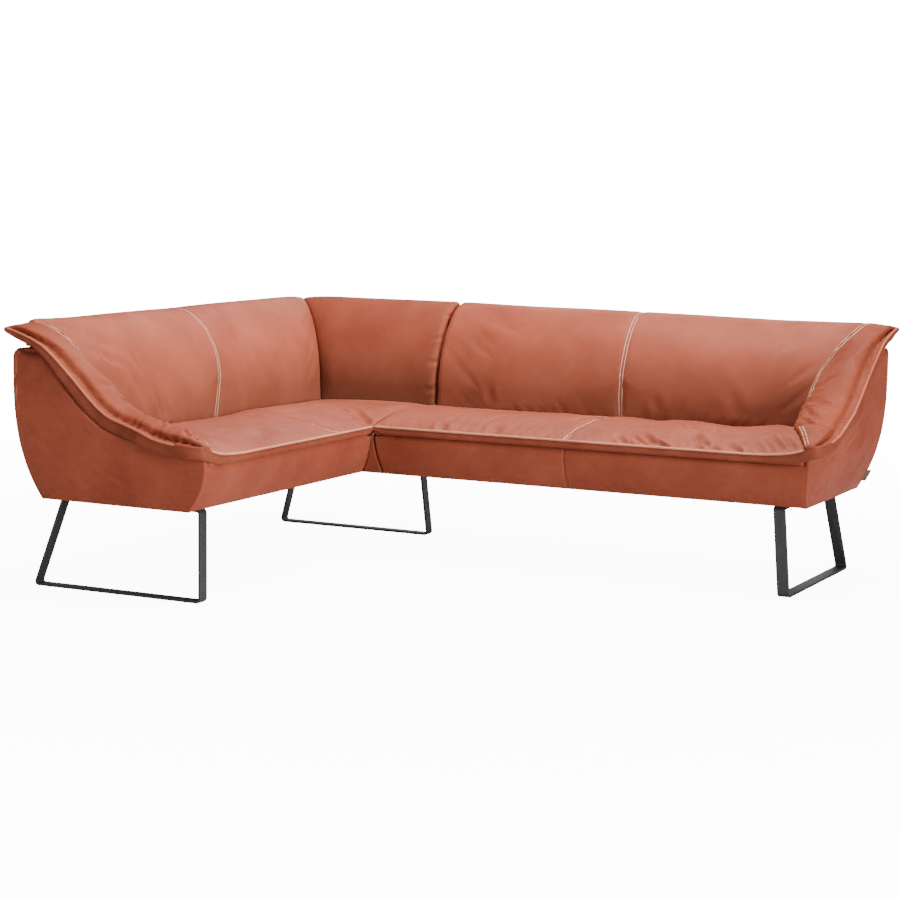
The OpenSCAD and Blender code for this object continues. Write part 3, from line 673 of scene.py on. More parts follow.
def seat_grid(low, length, seam, lip_of, rear_of):
    """A crowned pad: top from the piped edge to the back, then rear, underside and front."""
    rows = []
    for w in stations(low, length + SEAT_REACH, [seam]):
        t = np.linspace(0, 1, SEAT_COLUMNS)
        ends = edge_round(w - low, 0.010)
        d0 = 0.001 - lip_of(w) + ends * 0.25
        d1 = SEAT_D - 0.002
        top_d = mix(d0, d1, t)
        turn = clamp((SEAT_LIP - w) / (SEAT_D + SEAT_LIP)) if low < 0 else 0.0
        pad_t = np.minimum(1.0, (t ** 4 + turn ** 4) ** 0.25)
        joint = edge_round(top_d - d0, 0.008) * smooth(turn / 0.06)
        lift = 0.016 * smooth((w - length + 0.22) / 0.15) * np.sin(np.pi * clamp(t * 1.25)) ** 0.8
        top_z = seat_top(pad_t) + edge_rise(w - length) * (1 - t) + lift - ends - joint
        top_z = top_z + rear_of(w) * smooth((t - 0.3) / 0.5)
        below = [(d1, mix(SEAT_REAR_Z, PAD_Z, 0.5)), (d1 - 0.004, PAD_Z + 0.0015), (d1 - 0.04, PAD_Z),
                 (mix(d0, d1, 0.6), PAD_Z), (mix(d0, d1, 0.3), PAD_Z), (d0 + 0.04, PAD_Z),
                 (d0 + 0.014, PAD_Z), (d0 + 0.006, PAD_Z + 0.002), (d0 + 0.0035, PAD_Z + 0.007),
                 (d0 + 0.003, PAD_Z + 0.0135), (d0 + 0.0035, PAD_Z + 0.020)]
        section = [(d, z) for d, z in zip(top_d, top_z)] + below
        rows.append([(w, d, z) for d, z in section])
    return np.array(rows)


def seat_held(grid, seam):
    """The pad is held at its piping, underside, ends and middle seam."""
    held = np.zeros(grid.shape[:2], bool)
    held[:, 0] = True
    held[:, SEAT_COLUMNS - 1:] = True
    held[0] = held[-1] = True
    held[np.abs(grid[:, 0, 0] - seam).argmin()] = True
    return held


def finish_skin(grid):
    return halve(halve(grid, 0, False), 1, True)


def make_seat(name, unit, low, length, seam, lip_of, rear_of, replaced, folds, gathers):
    grid = seat_grid(low, length, seam, lip_of, rear_of)
    grid = swell_as_cloth(grid, seat_held(grid, seam), 1.6, 0.008)
    grid = finish_skin(grid)
    w, d, z = np.moveaxis(grid, 2, 0)
    inside = d + SEAT_LIP
    push = (gathers(w) * ripple((w + 0.55 * inside) / 0.034, 21) * np.exp(-inside / 0.042)
            * smooth(inside / 0.012) * (z > PIPE_Z + 0.001))
    grid = grid + skin_normals(grid) * push[:, :, None]
    surface = surface_tree(grid)
    line = [tuple(surface.ray_cast(Vector((seam, d, SEAT_ABOVE)), Vector((0, 0, -1)))[0] or (seam, d, 0.49))
            for d in np.linspace(-SEAT_LIP, SEAT_D, 24)]
    grid = channel(grid, line, 0.004, 0.0022)
    grid = fold_in(grid, folds)
    # The seat takes the less saturated hide, painted sheen.
    skin = Skin(name, unit, grid, replaced, 0.8, SEAT_SHEEN_LEATHER)
    return skin, np.array(line)


# Back cushions

BACK_SHOWN = 52


def back_section(pull):
    """Face, crown and lip as one curve, then the hidden side round the board and the top rail."""
    rise = BACK_TOP - pull - LEAN_Z
    angle = np.linspace(0, math.pi / 2, 120)
    face_d = CROWN_D - (LEAN_D - pull) * np.cos(angle) ** (2 / LEAN_POWER)
    face_z = LEAN_Z + rise * np.sin(angle) ** (2 / LEAN_POWER)
    lower = [(SEAT_D + pull / 2 + 0.004, PAD_Z + 0.02), (SEAT_D + pull / 2, PAD_Z + 0.05)]
    lip_angle = np.linspace(math.pi / 2, 0, 24)[1:]
    lip_d = CROWN_D + (LIP_D - pull / 2) * np.cos(lip_angle)
    lip_z = BACK_TOP - LIP_FALL + (LIP_FALL - pull) * np.sin(lip_angle)
    outline = lower + list(zip(face_d, face_z)) + list(zip(lip_d, lip_z))
    outline += [(lip_d[-1] - 0.002, SHELL_TOP + 0.014), (lip_d[-1] - 0.009, SHELL_TOP + 0.003)]
    shown = resample(outline, BACK_SHOWN)
    hidden = [(CROWN_D - 0.02, SHELL_TOP + 0.0005), (0.53, SHELL_TOP + 0.0005), (BOARD_D, SHELL_TOP + 0.0005),
              (BOARD_D, 0.70), (BOARD_D, 0.60), (BOARD_D, 0.50), (BOARD_D, PAD_Z),
              (0.45, PAD_Z), (SEAT_D + 0.02, PAD_Z)]
    return np.concatenate([shown, hidden])


def back_rows(places, low, high):
    rows = []
    for w in places:
        near = min(w - low if low is not None else 9.0, high - w)
        pull = edge_round(near, 0.024) * 0.50
        rows.append([(w, d, z) for d, z in back_section(pull)])
    return rows


def mitred_rows(start):
    """Rows that fan out from the diagonal of the corner to the first straight row."""
    rows = []
    for t in np.linspace(0, 1, 18)[:-1] ** 1.3:
        pull = edge_round(t * 0.09, 0.055) * 0.30
        rows.append([(mix(0.0006 - d, start, t), d, z) for d, z in back_section(pull)])
    return rows


def make_back(name, unit, low, high, seam, replaced, folds, mitred=False, sag=0.0, seam_lean=((0, 1), (0, 0)),
              calm=(0.1, 0.1), material=BACK_LEATHER):
    seams = [seam] if seam is not None else []
    if mitred:
        start = -(SEAT_D - 0.08)
        rows = mitred_rows(start) + back_rows(stations(start, high, seams), None, high)
    else:
        rows = back_rows(stations(low, high, seams), low, high)
    grid = np.array(rows)
    held = np.zeros(grid.shape[:2], bool)
    held[:, BACK_SHOWN - 3:] = True
    held[:, 0] = True
    held[0] = held[-1] = True
    w = grid[:, :, 0]
    first = 0.0 if mitred else low
    loose = mix(calm[0], 1, smooth((w - first) / 0.38)) * mix(calm[1], 1, smooth((high - w) / 0.38))
    grid = grid + (swell_as_cloth(grid, held, 1.5, 0.007) - grid) * loose[:, :, None]
    grid = finish_skin(grid)
    line = None
    if seam is not None:
        line = np.array([(seam + np.interp(z, *seam_lean) * (1 if d < CROWN_D else 0.8), d, z)
                         for d, z in back_section(0)[:BACK_SHOWN - 2]])
        grid = channel(grid, line, 0.003, 0.002)
    grid = fold_in(grid, folds)
    if sag:
        lean = smooth((grid[:, :, 0] - 0.5) / (high - 0.5)) * smooth((grid[:, :, 2] - 0.66) / 0.2)
        grid[:, :, 2] -= sag * lean
    return Skin(name, unit, grid, replaced, 0.75, material), line


# Arm pads

ARM_COLUMNS = 30
ARM_ROWS = 92
ARM_TOP = 0.36
ARM_S = np.linspace(0, len(ARM_RIM) - 1, ARM_ROWS)


def arm_grid(length):
    """The pad between its rim and its fold, with a wall down to the seat and a hidden underside."""
    rim, fold = curve(ARM_RIM, ARM_S), curve(ARM_FOLD, ARM_S)
    puff, depth = curve(ARM_PUFF, ARM_S)[:, 0], curve(ARM_DEPTH, ARM_S)[:, 0]
    along = np.gradient((rim + fold) / 2, axis=0)
    chord = fold - rim
    up = unit_vectors(np.cross(along, chord))
    up *= np.where(up[:, 2:] < 0, -1, 1)
    inward = unit_vectors(chord)
    rows = []
    for i in range(ARM_ROWS):
        t = np.linspace(0, 1, ARM_COLUMNS)
        climb = 1 - (1 - clamp(t / ARM_TOP)) ** 2.4
        rise = puff[i] * climb * (1 - 0.53 * clamp((t - ARM_TOP) / (1 - ARM_TOP)) ** 1.6) + 0.001
        top = rim[i] + t[:, None] * chord[i] + rise[:, None] * up[i]
        last, d = top[-1], depth[i]
        wall = [last - up[i] * x * d + inward[i] * y * d for x, y in
                ((0.006, 0.004), (0.014, 0.004), (0.026, -0.001),
                 (0.042, -0.010), (0.060, -0.022), (0.078, -0.036))]
        across = np.linalg.norm(chord[i])
        floor = [rim[i] + inward[i] * across * x - up[i] * y * d for x, y in
                 ((0.62, 0.080), (0.45, 0.070), (0.28, 0.045), (0.12, 0.022))]
        edge = [rim[i] + inward[i] * 0.005 - up[i] * 0.008 * min(1, d * 2)]
        rows.append(np.concatenate([top, wall, floor, edge]))
    grid = np.array(rows)
    grid[:, :, 0] += length
    return grid


def make_arm(name, unit, length, replaced, folds, seed):
    grid = arm_grid(length)
    held = np.ones(grid.shape[:2], bool)
    held[2:-2, 2:ARM_COLUMNS - 1] = False
    grid = swell_as_cloth(grid, held, 1.4, 0.006)
    grid = finish_skin(grid)
    s = np.linspace(0, len(ARM_RIM) - 1, len(grid))[:, None]
    t = np.arange(grid.shape[1])[None, :] / (2 * (ARM_COLUMNS - 1))
    near_fold = smooth((t - 0.50) / 0.30) * smooth((1.30 - t) / 0.25)
    near_rim = np.exp(-(t / 0.22) ** 2) * smooth(t / 0.03)
    push = (0.0034 * ripple(s * 1.5, seed) * near_fold * smooth(s / 1.5) * smooth((10.5 - s) / 3)
            + 0.0022 * ripple(s * 1.9, seed + 1) * near_rim * smooth((9.5 - s) / 3)
            - 0.0160 * np.exp(-((t - 0.090) / 0.062) ** 2) * smooth(s / 1.0) * smooth((17.8 - s) / 2))
    grid = grid + skin_normals(grid) * push[:, :, None]
    grid = fold_in(grid, folds)
    # The arm pad takes the darker copy of the hide, painted shade.
    return Skin(name, unit, grid, replaced, 0.85, ARM_SHADED_LEATHER)


def arm_line(length, which, inside=0.0, rise=0.0, start=0.0, stop=None):
    """A line beside an arm's rim or fold, moved across the pad by a distance."""
    stop = len(ARM_RIM) - 1 if stop is None else stop
    s = np.linspace(start, stop, 80)
    rim, fold = curve(ARM_RIM, s), curve(ARM_FOLD, s)
    inward = unit_vectors(fold - rim)
    line = (rim + inward * inside) if which == "rim" else (fold - inward * inside)
    puff = curve(ARM_PUFF, s)
    up = unit_vectors(np.cross(np.gradient((rim + fold) / 2, axis=0), fold - rim))
    up *= np.where(up[:, 2:] < 0, -1, 1)
    line = line + up * (rise + (puff * 0.5 if which == "fold" else 0))
    line[:, 0] += length
    return line


# Edge band: the strip below the piping that runs along the seat's front and up the arm

BAND_D = -0.0925


def rim_path(start, length):
    """Top edge of the band, from a place on the seat's front round the corner to the arm's tip."""
    flat = [(w, BAND_D, PIPE_Z) for w in np.linspace(start, length - 0.17, 40)]
    turn = curve([(-0.17, BAND_D, PIPE_Z), (-0.10, BAND_D, PIPE_Z + 0.003), (-0.035, BAND_D, PIPE_Z + 0.010),
                  (0.010, BAND_D, PIPE_Z + 0.022)] + ARM_RIM, np.linspace(0, 3 + len(ARM_RIM), 190))
    turn[:, 0] += length
    return np.concatenate([flat[:-1], turn])


def band_height(u, d, full):
    """Taller at the corner, where the rim rises from the seat to the arm, and narrow at the arm's tip."""
    front = 0.0255 + 0.010 * smooth((u + 0.16) / 0.16)
    side = mix(mix(0.038, full, smooth((d + 0.05) / 0.16)), 0.020, smooth((d - 0.34) / 0.18))
    return mix(front, side, smooth((d + 0.092) / 0.05))


def make_band(name, unit, start, length, full):
    path = resample(rim_path(start, length), 330)
    along = unit_vectors(np.gradient(path, axis=0))
    outward = unit_vectors(np.stack([along[:, 1], -along[:, 0], np.zeros(len(path))], 1))
    for _ in range(6):
        outward[1:-1] = unit_vectors(outward[:-2] + outward[1:-1] * 2 + outward[2:])
    down = np.cross(outward, along)
    down *= np.where(down[:, 2:] > 0, -1, 1)
    height = band_height(path[:, 0] - length, path[:, 1], full)
    left = np.arange(len(path))[::-1] / 9
    height = height * mix(0.25, 1, np.sqrt(clamp(left))) * mix(0.5, 1, smooth((path[:, 0] - start) / 0.045))
    thick = 0.008 * mix(0.3, 1, clamp(left))
    profile = [(0.0, 0.000), (0.10, 0.0002), (0.3, 0.0016), (0.55, 0.0034), (0.8, 0.0040), (0.95, 0.0026),
               (1.0, -0.0005), (1.0, -0.005), (0.85, -0.008), (0.5, -0.008), (0.12, -0.008), (-0.02, -0.004)]
    rings = np.array([[p + v * h * k + o * (q if q > 0 else q * t / 0.008) for k, q in profile]
                      for p, v, o, h, t in zip(path, down, outward, height, thick)])
    skin_grid = halve(halve(rings, 1, True), 0, False)
    wave = 0.0012 * ripple(np.linspace(0, 26, len(skin_grid)), 31 if unit.corner else 37)
    middle = np.sin(np.pi * clamp(np.arange(skin_grid.shape[1]) / 13.0))
    skin_grid = skin_grid + skin_normals(skin_grid) * (wave[:, None] * middle[None, :])[:, :, None]
    # The band takes the darker copy of the hide: painted shade under the piping.
    Skin(name, unit, skin_grid, (), 0.9, EDGE_SHADED_LEATHER)
    return path, path + down * height[:, None]


def band_top(lower, d):
    """Height at which the band's lower edge passes over a place of the end panel."""
    order = np.argsort(lower[:, 1])
    return np.interp(d, lower[order, 1], lower[order, 2])


# Shell panels

def panel_stations(low, high, step, radius=0.006):
    close = np.array([0.0, 0.0004, 0.0012, 0.0026, 0.0045, radius])
    middle = np.linspace(low + radius + 0.004, high - radius - 0.004, max(3, int((high - low) / step)))
    return np.concatenate([low + close, middle, high - close[::-1]])


def make_panel(name, unit, outer, across, upward, replaced, thickness=PANEL_T, radius=0.0055, seams=(),
               relief=None, tuck=0.0, tuck_h=0.011, folds=(), step=0.014, material=LEATHER):
    """A padded panel from its outer face, with rolled edges and a flat hidden side.

    outer(a, b) gives the face's point for a and b from 0 to 1; across and upward are its size."""
    at_seams = [place + width * k for place, _, width in seams
                for k in (-2.4, -1.4, -0.7, 0.0, 0.7, 1.4, 2.4)]
    a = np.unique(np.concatenate([panel_stations(0.0, across, step), at_seams]))
    b = panel_stations(0.0, upward, min(step, 0.012))
    face = np.array([[outer(x / across, y / upward) for y in b] for x in a])
    face = fold_in(face, folds, closed=False)
    normal = skin_normals(face, closed=False)
    inward = np.array(outer(0.5, 0.5, thickness)) - np.array(outer(0.5, 0.5))
    if inward @ normal[len(a) // 2, len(b) // 2] > 0:
        normal = -normal
    edge = np.minimum(np.minimum(a, across - a)[:, None], np.minimum(b, upward - b)[None, :])
    fall = smooth(a / 0.05) * smooth((across - a) / 0.05)
    sink = edge_round(edge, radius) + tuck * fall[:, None] * np.exp(-((upward - b[None, :]) / tuck_h) ** 2)
    for place, depth, width in seams:
        sink = sink + depth * np.exp(-((a[:, None] - place) / width) ** 2)
    if relief is not None:
        sink = sink - relief(a[:, None], b[None, :]) * clamp(edge / 0.03)
    front = face - normal * sink[:, :, None]
    back = face - normal * thickness
    rows, columns = front.shape[:2]
    points = np.concatenate([front.reshape(-1, 3), back.reshape(-1, 3)])
    offset = rows * columns
    faces = skin_faces(rows, columns, closed=False, capped=False)
    faces += [tuple(offset + k for k in f[::-1]) for f in faces]
    rim = [i * columns for i in range(rows)] + [(rows - 1) * columns + j for j in range(1, columns)]
    rim += [i * columns + columns - 1 for i in range(rows - 2, -1, -1)] + list(range(columns - 2, 0, -1))
    for p, q in zip(rim, rim[1:] + rim[:1]):
        faces.append((q, p, offset + p, offset + q))
    return add_piece(name, unit, points, faces, material, replaced)


END_CORNER_R = 0.030
BLOCK_LIFT = 0.110
BLOCK_INSET = 0.022
REAR_ROLL = 0.026
CORNER_GROOVE = 0.004
JOINT_DROP = 0.011
ARM_RISE = 0.016


def spanning_face(profile, start, end, mitre, flares, groove):
    """Outer face between two ends. One may be mitred, the other may follow the end panel's swell."""
    def outer(a, b, inset=0.0):
        d, z = profile(mix(start, end, a), b, inset)
        low = -d if mitre else start
        high = end + (end_out(z, d) - inset - groove if flares else 0.0)
        return (mix(low, high, a), d, z)
    return outer


def front_face(start, end, mitre=False, flares=True):
    """Front panel, a little lower beside the joint and higher towards the arm."""
    joint = CORNER_EDGE if end < 0.1 or start > 0 else 0.0

    def profile(w, b, inset):
        drop = JOINT_DROP * (1 - smooth(abs(w - joint) / 0.05))
        rise = ARM_RISE * smooth((w - end + 0.12) / 0.14) if flares else 0.0
        z = mix(BASE_Z, FRONT_TOP - drop + rise, b)
        return inset - front_out(z), z
    return spanning_face(profile, start, end, mitre, flares, CORNER_GROOVE)


def rear_face(start, end, mitre=False, flares=True):
    """Rear panel, rolled over at its top."""
    def profile(w, b, inset):
        z = mix(BASE_Z, SHELL_TOP, b)
        roll = max(0.0, z - SHELL_TOP + REAR_ROLL)
        return DEPTH + rear_out(z) - inset - REAR_ROLL + math.sqrt(REAR_ROLL ** 2 - roll ** 2), z
    return spanning_face(profile, start, end, mitre, flares, 0.0)


def end_face(length, lower):
    """Outer face of an end panel, its top tucked behind the arm's band."""
    arm = lower[lower[:, 0] > length + 0.045]

    def outer(a, b, inset=0.0):
        d_mid = mix(-FRONT_FLARE, DEPTH + REAR_FLARE, a)
        top = min(SHELL_TOP, band_top(arm, d_mid) + 0.004)
        past = d_mid - (DEPTH + REAR_FLARE - END_CORNER_R)
        if past > 0:
            top -= END_CORNER_R - math.sqrt(max(0.0, END_CORNER_R ** 2 - past ** 2))
        z = mix(BASE_Z, top, b)
        d = mix(inset - front_out(z), DEPTH + rear_out(z) - inset, a)
        return (length + end_out(z, d) - inset, d, z)
    return outer


def block_face(length, lower):
    """Outer face of the foam block inside an arm, just within the end panel."""
    arm = lower[lower[:, 0] > length + 0.045]

    def outer(a, b, inset=0.0):
        d_mid = mix(-0.050, DEPTH + 0.020, a)
        z = mix(BASE_Z + BLOCK_LIFT, min(SHELL_TOP - 0.004, band_top(arm, d_mid) - 0.006), b)
        d = mix(BLOCK_INSET - front_out(z), DEPTH + rear_out(z) - BLOCK_INSET, a)
        return (length + end_out(z, d) - BLOCK_INSET + 0.001 - inset, d, z)
    return outer


def shoulder_face(length):
    """Covered top of the shell between the back cushion's end and the end panel."""
    def outer(a, b, inset=0.0):
        d = mix(0.470, DEPTH + REAR_FLARE - 0.004, b)
        return (length + mix(-0.010, 0.064, a), d, SHELL_TOP + 0.0005 - inset)
    return outer


def uneven_padding(seed, height, size):
    """Slow swells of a panel, different for each seed."""
    rng = random.Random(seed)
    waves = [(rng.uniform(3, 9), rng.uniform(4, 12), rng.uniform(0, 6.28), rng.uniform(0.4, 1))
             for _ in range(5)]

    def relief(a, b):
        total = 0
        for fa, fb, phase, weight in waves:
            total = total + weight * np.sin(fa * a / size + phase) * np.sin(fb * b / size + phase * 1.7)
        return height * total / 3
    return relief


# Build

finish_nodes()

# Unevenness of the seats' rear edges: places along the unit and how far they rise there
LONG_REAR_W = (0.40, 0.50, 0.64, 0.76, 0.88, 0.99, 1.06, 1.12, 1.25, 1.33, 1.41, 1.46, 1.60)
LONG_REAR_RISE = (0.002, 0.002, 0.005, 0.002, 0.007, 0.002, 0.008, 0.008, -0.001, 0.004, 0.014, 0.008, 0.004)
CORNER_REAR_W = (-0.10, 0.0, 0.15, 0.33, 0.60, 0.90)
CORNER_REAR_RISE = (0.0, 0.003, 0.006, -0.002, 0.004, 0.0)

# Folds: guide points, depth and width. Some places were taken from a scratch script, which cast lines picked
# in the photo onto the pieces from the fitted camera. The points are moved onto the surface before a fold is
# pressed in.
LONG_SEAT_FOLDS = [
    ([(0.97, -0.03, 0.485), (1.01, -0.07, 0.477), (1.05, -0.09, 0.469)], 0.0090, 0.009),
    ([(1.03, -0.03, 0.485), (1.09, -0.08, 0.473)], 0.0090, 0.008),
    ([(1.03, 0.03, 0.493), (1.10, -0.05, 0.481), (1.16, -0.09, 0.469)], 0.0120, 0.011),
    ([(1.11, -0.05, 0.480), (1.17, -0.09, 0.466)], 0.0080, 0.008),
    ([(1.20, 0.05, 0.495), (1.25, -0.02, 0.487), (1.27, -0.08, 0.470)], 0.0090, 0.016),
    ([(1.27, -0.03, 0.485), (1.34, -0.09, 0.469)], 0.0100, 0.009),
    ([(1.35, -0.02, 0.486), (1.42, -0.09, 0.470)], 0.0112, 0.010),
    ([(1.46, 0.02, 0.500), (1.53, -0.08, 0.478)], 0.0100, 0.009),
    ([(1.46, 0.07, 0.506), (1.51, -0.02, 0.499), (1.55, -0.07, 0.484)], 0.0100, 0.010),
    ([(1.51, 0.05, 0.511), (1.56, -0.03, 0.500), (1.59, -0.08, 0.491)], 0.0100, 0.009),
    ([(0.75, 0.10, 0.502), (0.77, 0.19, 0.506), (0.80, 0.25, 0.508)], 0.0090, 0.014),
    ([(1.08, 0.22, 0.506), (1.20, 0.12, 0.500), (1.33, 0.06, 0.497)], 0.0112, 0.026),
    ([(0.32, -0.02, 0.492), (0.36, -0.09, 0.469)], 0.0067, 0.014),
    ([(0.52, 0.00, 0.495), (0.55, -0.09, 0.469)], 0.0067, 0.016)]
CORNER_SEAT_FOLDS = [
    ([(0.09, -0.08, 0.470), (0.05, -0.04, 0.482), (0.00, 0.02, 0.490), (-0.06, 0.08, 0.494)], 0.0084, 0.013),
    ([(0.10, -0.05, 0.475), (0.06, 0.01, 0.488)], 0.0056, 0.009),
    ([(0.00, 0.10, 0.500), (0.03, 0.02, 0.490)], 0.0049, 0.008),
    ([(0.42, 0.30, 0.502), (0.38, 0.20, 0.506), (0.40, 0.10, 0.503)], 0.0070, 0.022),
    ([(0.55, 0.10, 0.505), (0.66, 0.00, 0.500), (0.80, -0.03, 0.492)], 0.0049, 0.030),
    ([(0.93, 0.10, 0.510), (0.98, 0.02, 0.505), (1.05, -0.05, 0.490)], 0.0056, 0.014),
    ([(1.00, 0.12, 0.515), (1.05, 0.03, 0.508), (1.09, -0.04, 0.497)], 0.0063, 0.010)]
LONG_BACK_FOLDS = [
    ([(0.30, 0.39, 0.58), (0.31, 0.39, 0.52)], 0.0030, 0.016),
    ([(0.93, 0.39, 0.58), (0.95, 0.39, 0.52)], 0.0030, 0.018),
    ([(1.20, 0.40, 0.62), (1.24, 0.39, 0.53)], 0.0030, 0.022)]
SHORT_BACK_FOLDS = [
    ([(0.92, 0.456, 0.775), (0.905, 0.437, 0.740), (0.89, 0.422, 0.705)], 0.0035, 0.009),
    ([(0.785, 0.437, 0.740), (0.775, 0.421, 0.709), (0.770, 0.409, 0.679)], 0.0030, 0.010),
    ([(0.84, 0.420, 0.700), (0.80, 0.400, 0.640), (0.76, 0.388, 0.580)], 0.0035, 0.018),
    ([(0.66, 0.386, 0.575), (0.63, 0.386, 0.515)], 0.0030, 0.010),
    ([(0.71, 0.392, 0.620), (0.69, 0.386, 0.567), (0.66, 0.386, 0.520)], 0.0035, 0.013)]
CORNER_BACK_FOLDS = [
    ([(0.082, 0.60, 0.845), (0.064, 0.575, 0.842)], 0.0040, 0.008),
    ([(0.082, 0.52, 0.820), (0.060, 0.505, 0.805)], 0.0045, 0.008),
    ([(0.082, 0.45, 0.745), (0.050, 0.435, 0.725)], 0.0040, 0.008),
    ([(0.082, 0.41, 0.660), (0.055, 0.400, 0.645)], 0.0045, 0.009),
    ([(0.082, 0.39, 0.560), (0.050, 0.388, 0.550)], 0.0035, 0.009)]
RIGHT_ARM_FOLDS = [
    ([(1.525, 0.322, 0.640), (1.56, 0.337, 0.665), (1.60, 0.350, 0.685)], 0.0045, 0.010),
    ([(1.535, 0.378, 0.696), (1.585, 0.406, 0.733)], 0.0040, 0.010),
    ([(1.510, 0.250, 0.580), (1.550, 0.205, 0.567), (1.600, 0.130, 0.551)], 0.0050, 0.010),
    ([(1.530, 0.180, 0.556), (1.560, 0.130, 0.550), (1.600, 0.070, 0.540)], 0.0045, 0.009),
    ([(1.615, 0.035, 0.533), (1.650, 0.020, 0.526)], 0.0040, 0.007)]
LEFT_ARM_FOLDS = [
    ([(1.00, 0.24, 0.570), (1.05, 0.16, 0.560), (1.09, 0.09, 0.545)], 0.0065, 0.011),
    ([(1.02, 0.12, 0.548), (1.07, 0.07, 0.540), (1.13, 0.05, 0.530)], 0.0080, 0.009),
    ([(1.05, 0.07, 0.540), (1.10, 0.01, 0.531), (1.14, -0.02, 0.520)], 0.0085, 0.009),
    ([(1.07, 0.02, 0.532), (1.10, -0.03, 0.523), (1.12, -0.06, 0.512)], 0.0065, 0.007),
    ([(1.10, -0.01, 0.525), (1.14, -0.05, 0.510)], 0.0055, 0.006),
    ([(1.04, 0.33, 0.66), (1.07, 0.32, 0.66), (1.12, 0.33, 0.66)], 0.0035, 0.012)]
RIGHT_END_FOLDS = [
    ([(1.657, 0.160, 0.440), (1.664, 0.235, 0.472), (1.670, 0.290, 0.500)], 0.0040, 0.010),
    ([(1.656, 0.250, 0.435), (1.667, 0.315, 0.484), (1.675, 0.350, 0.530)], 0.0040, 0.010),
    ([(1.658, 0.310, 0.445), (1.668, 0.370, 0.495), (1.679, 0.390, 0.565)], 0.0035, 0.011),
    ([(1.657, 0.080, 0.430), (1.662, 0.140, 0.460)], 0.0030, 0.009),
    ([(1.660, 0.200, 0.430), (1.668, 0.270, 0.475), (1.674, 0.320, 0.515)], 0.0030, 0.008)]


def long_gathers(w):
    """Depth of the gathers along the piping, deeper on the half next to the arm."""
    return mix(0.0018, 0.0060, smooth((w - 0.85) / 0.2))


def corner_gathers(w):
    return 0.0012 * smooth((w - 0.10) / 0.05)


def corner_lip(w):
    """Reach of the corner unit's seat past the base: level with the joint, then over the front edge."""
    return mix(CORNER_EDGE - 0.0003, SEAT_LIP, smooth((w - 0.088) / 0.012))


long_seat, long_seat_line = make_seat(
    "long_seat_cushion", LONG, LONG_EDGE, LONG_LEN, LONG_SEAM, lambda w: SEAT_LIP,
    lambda w: np.interp(w, LONG_REAR_W, LONG_REAR_RISE), ["long_seat_pad"],
    LONG_SEAT_FOLDS, long_gathers)
corner_seat, corner_seat_line = make_seat(
    "corner_seat_cushion", CORNER, -(SEAT_D - 0.002), SHORT_LEN, SHORT_SEAM, corner_lip,
    lambda w: np.interp(w, CORNER_REAR_W, CORNER_REAR_RISE), ["corner_seat_pad"],
    CORNER_SEAT_FOLDS, corner_gathers)

long_back, long_back_line = make_back(
    "long_back_leather", LONG, LONG_EDGE + 0.001, LONG_LEN + BACK_REACH, LONG_SEAM, ["long_back_cushion"],
    LONG_BACK_FOLDS, sag=0.010)
short_back, short_back_line = make_back(
    "short_back_leather", CORNER, None, SHORT_LEN + BACK_REACH, SHORT_SEAM, ["short_back_cushion"],
    SHORT_BACK_FOLDS, mitred=True, calm=(0.2, 1.0),
    seam_lean=((0.50, 0.60, 0.70, 0.78, 0.86), (0.0, -0.018, -0.042, -0.050, -0.036)))
# The corner back takes the darker corner copy of the hide, painted shade.
make_back(
    "corner_back_leather", LONG, None, CORNER_EDGE - 0.003, None, ["corner_back_cushion"], CORNER_BACK_FOLDS,
    mitred=True, material=CORNER_SHADED_LEATHER)

right_arm = make_arm("right_arm_leather", LONG, LONG_LEN, ["right_arm_pad"], RIGHT_ARM_FOLDS, 41)
left_arm = make_arm("left_arm_leather", CORNER, SHORT_LEN, ["left_arm_pad"], LEFT_ARM_FOLDS, 47)
long_rim, long_lower = make_band("long_band_leather", LONG, LONG_EDGE + 0.002, LONG_LEN, 0.023)
short_rim, short_lower = make_band("short_band_leather", CORNER, 0.096, SHORT_LEN, 0.037)

SEAM_ROWS = (-0.0055, 0.0055)
PIPE_R = 0.0038

sew("long_back_stitching", [(long_back, long_back_line, SEAM_ROWS)], LONG)
sew("short_back_stitching", [(short_back, short_back_line, SEAM_ROWS)], CORNER)
sew("long_seat_stitching", [(long_seat, long_seat_line[:-1], SEAM_ROWS)], LONG)
sew("corner_seat_stitching", [(corner_seat, corner_seat_line[:-1], (0.0045,))], CORNER)


def trim(side, unit, length, arm, rim, tip):
    """Piping on the band's top edge, and the rows of stitches along the arm's fold."""
    front = rim[rim[:, 0] < length + 0.015]
    front = front[front[:, 1] < -0.09]
    # Both pipings are in tones lighter than the hide, painted highlight.
    bead(side + "_seat_piping", unit, front, PIPE_R, PIPING)
    bead(side + "_arm_piping", unit, arm_line(length, "rim", 0.0005, 0.0005, start=2.5), PIPE_R, ARM_PIPING)
    sew(side + "_arm_stitching",
        [(arm, arm_line(length, "fold", 0.008, 0.004, start=0.3, stop=tip), (-0.0045, 0.0055)),
         (arm, arm_line(length, "fold", 0.008, 0.004, start=8.8, stop=16.5), (-0.0045, 0.0055))], unit)


trim("long", LONG, LONG_LEN, right_arm, long_rim, 3.8)
trim("short", CORNER, SHORT_LEN, left_arm, short_rim, 1.7)

FRONT_H = FRONT_TOP - BASE_Z
SHELL_H = SHELL_TOP - BASE_Z
END_W = DEPTH + 0.13
LONG_SIDE = (LONG_EDGE, LONG_LEN)
SHORT_SIDE = (0, SHORT_LEN, True)
CORNER_SIDE = (0, CORNER_EDGE, True, False)


def middle_seam(shift):
    """The sewn seam of a long panel, as its place, depth and width."""
    return [(LONG_SEAM - LONG_EDGE + shift, 0.003, 0.0025)]


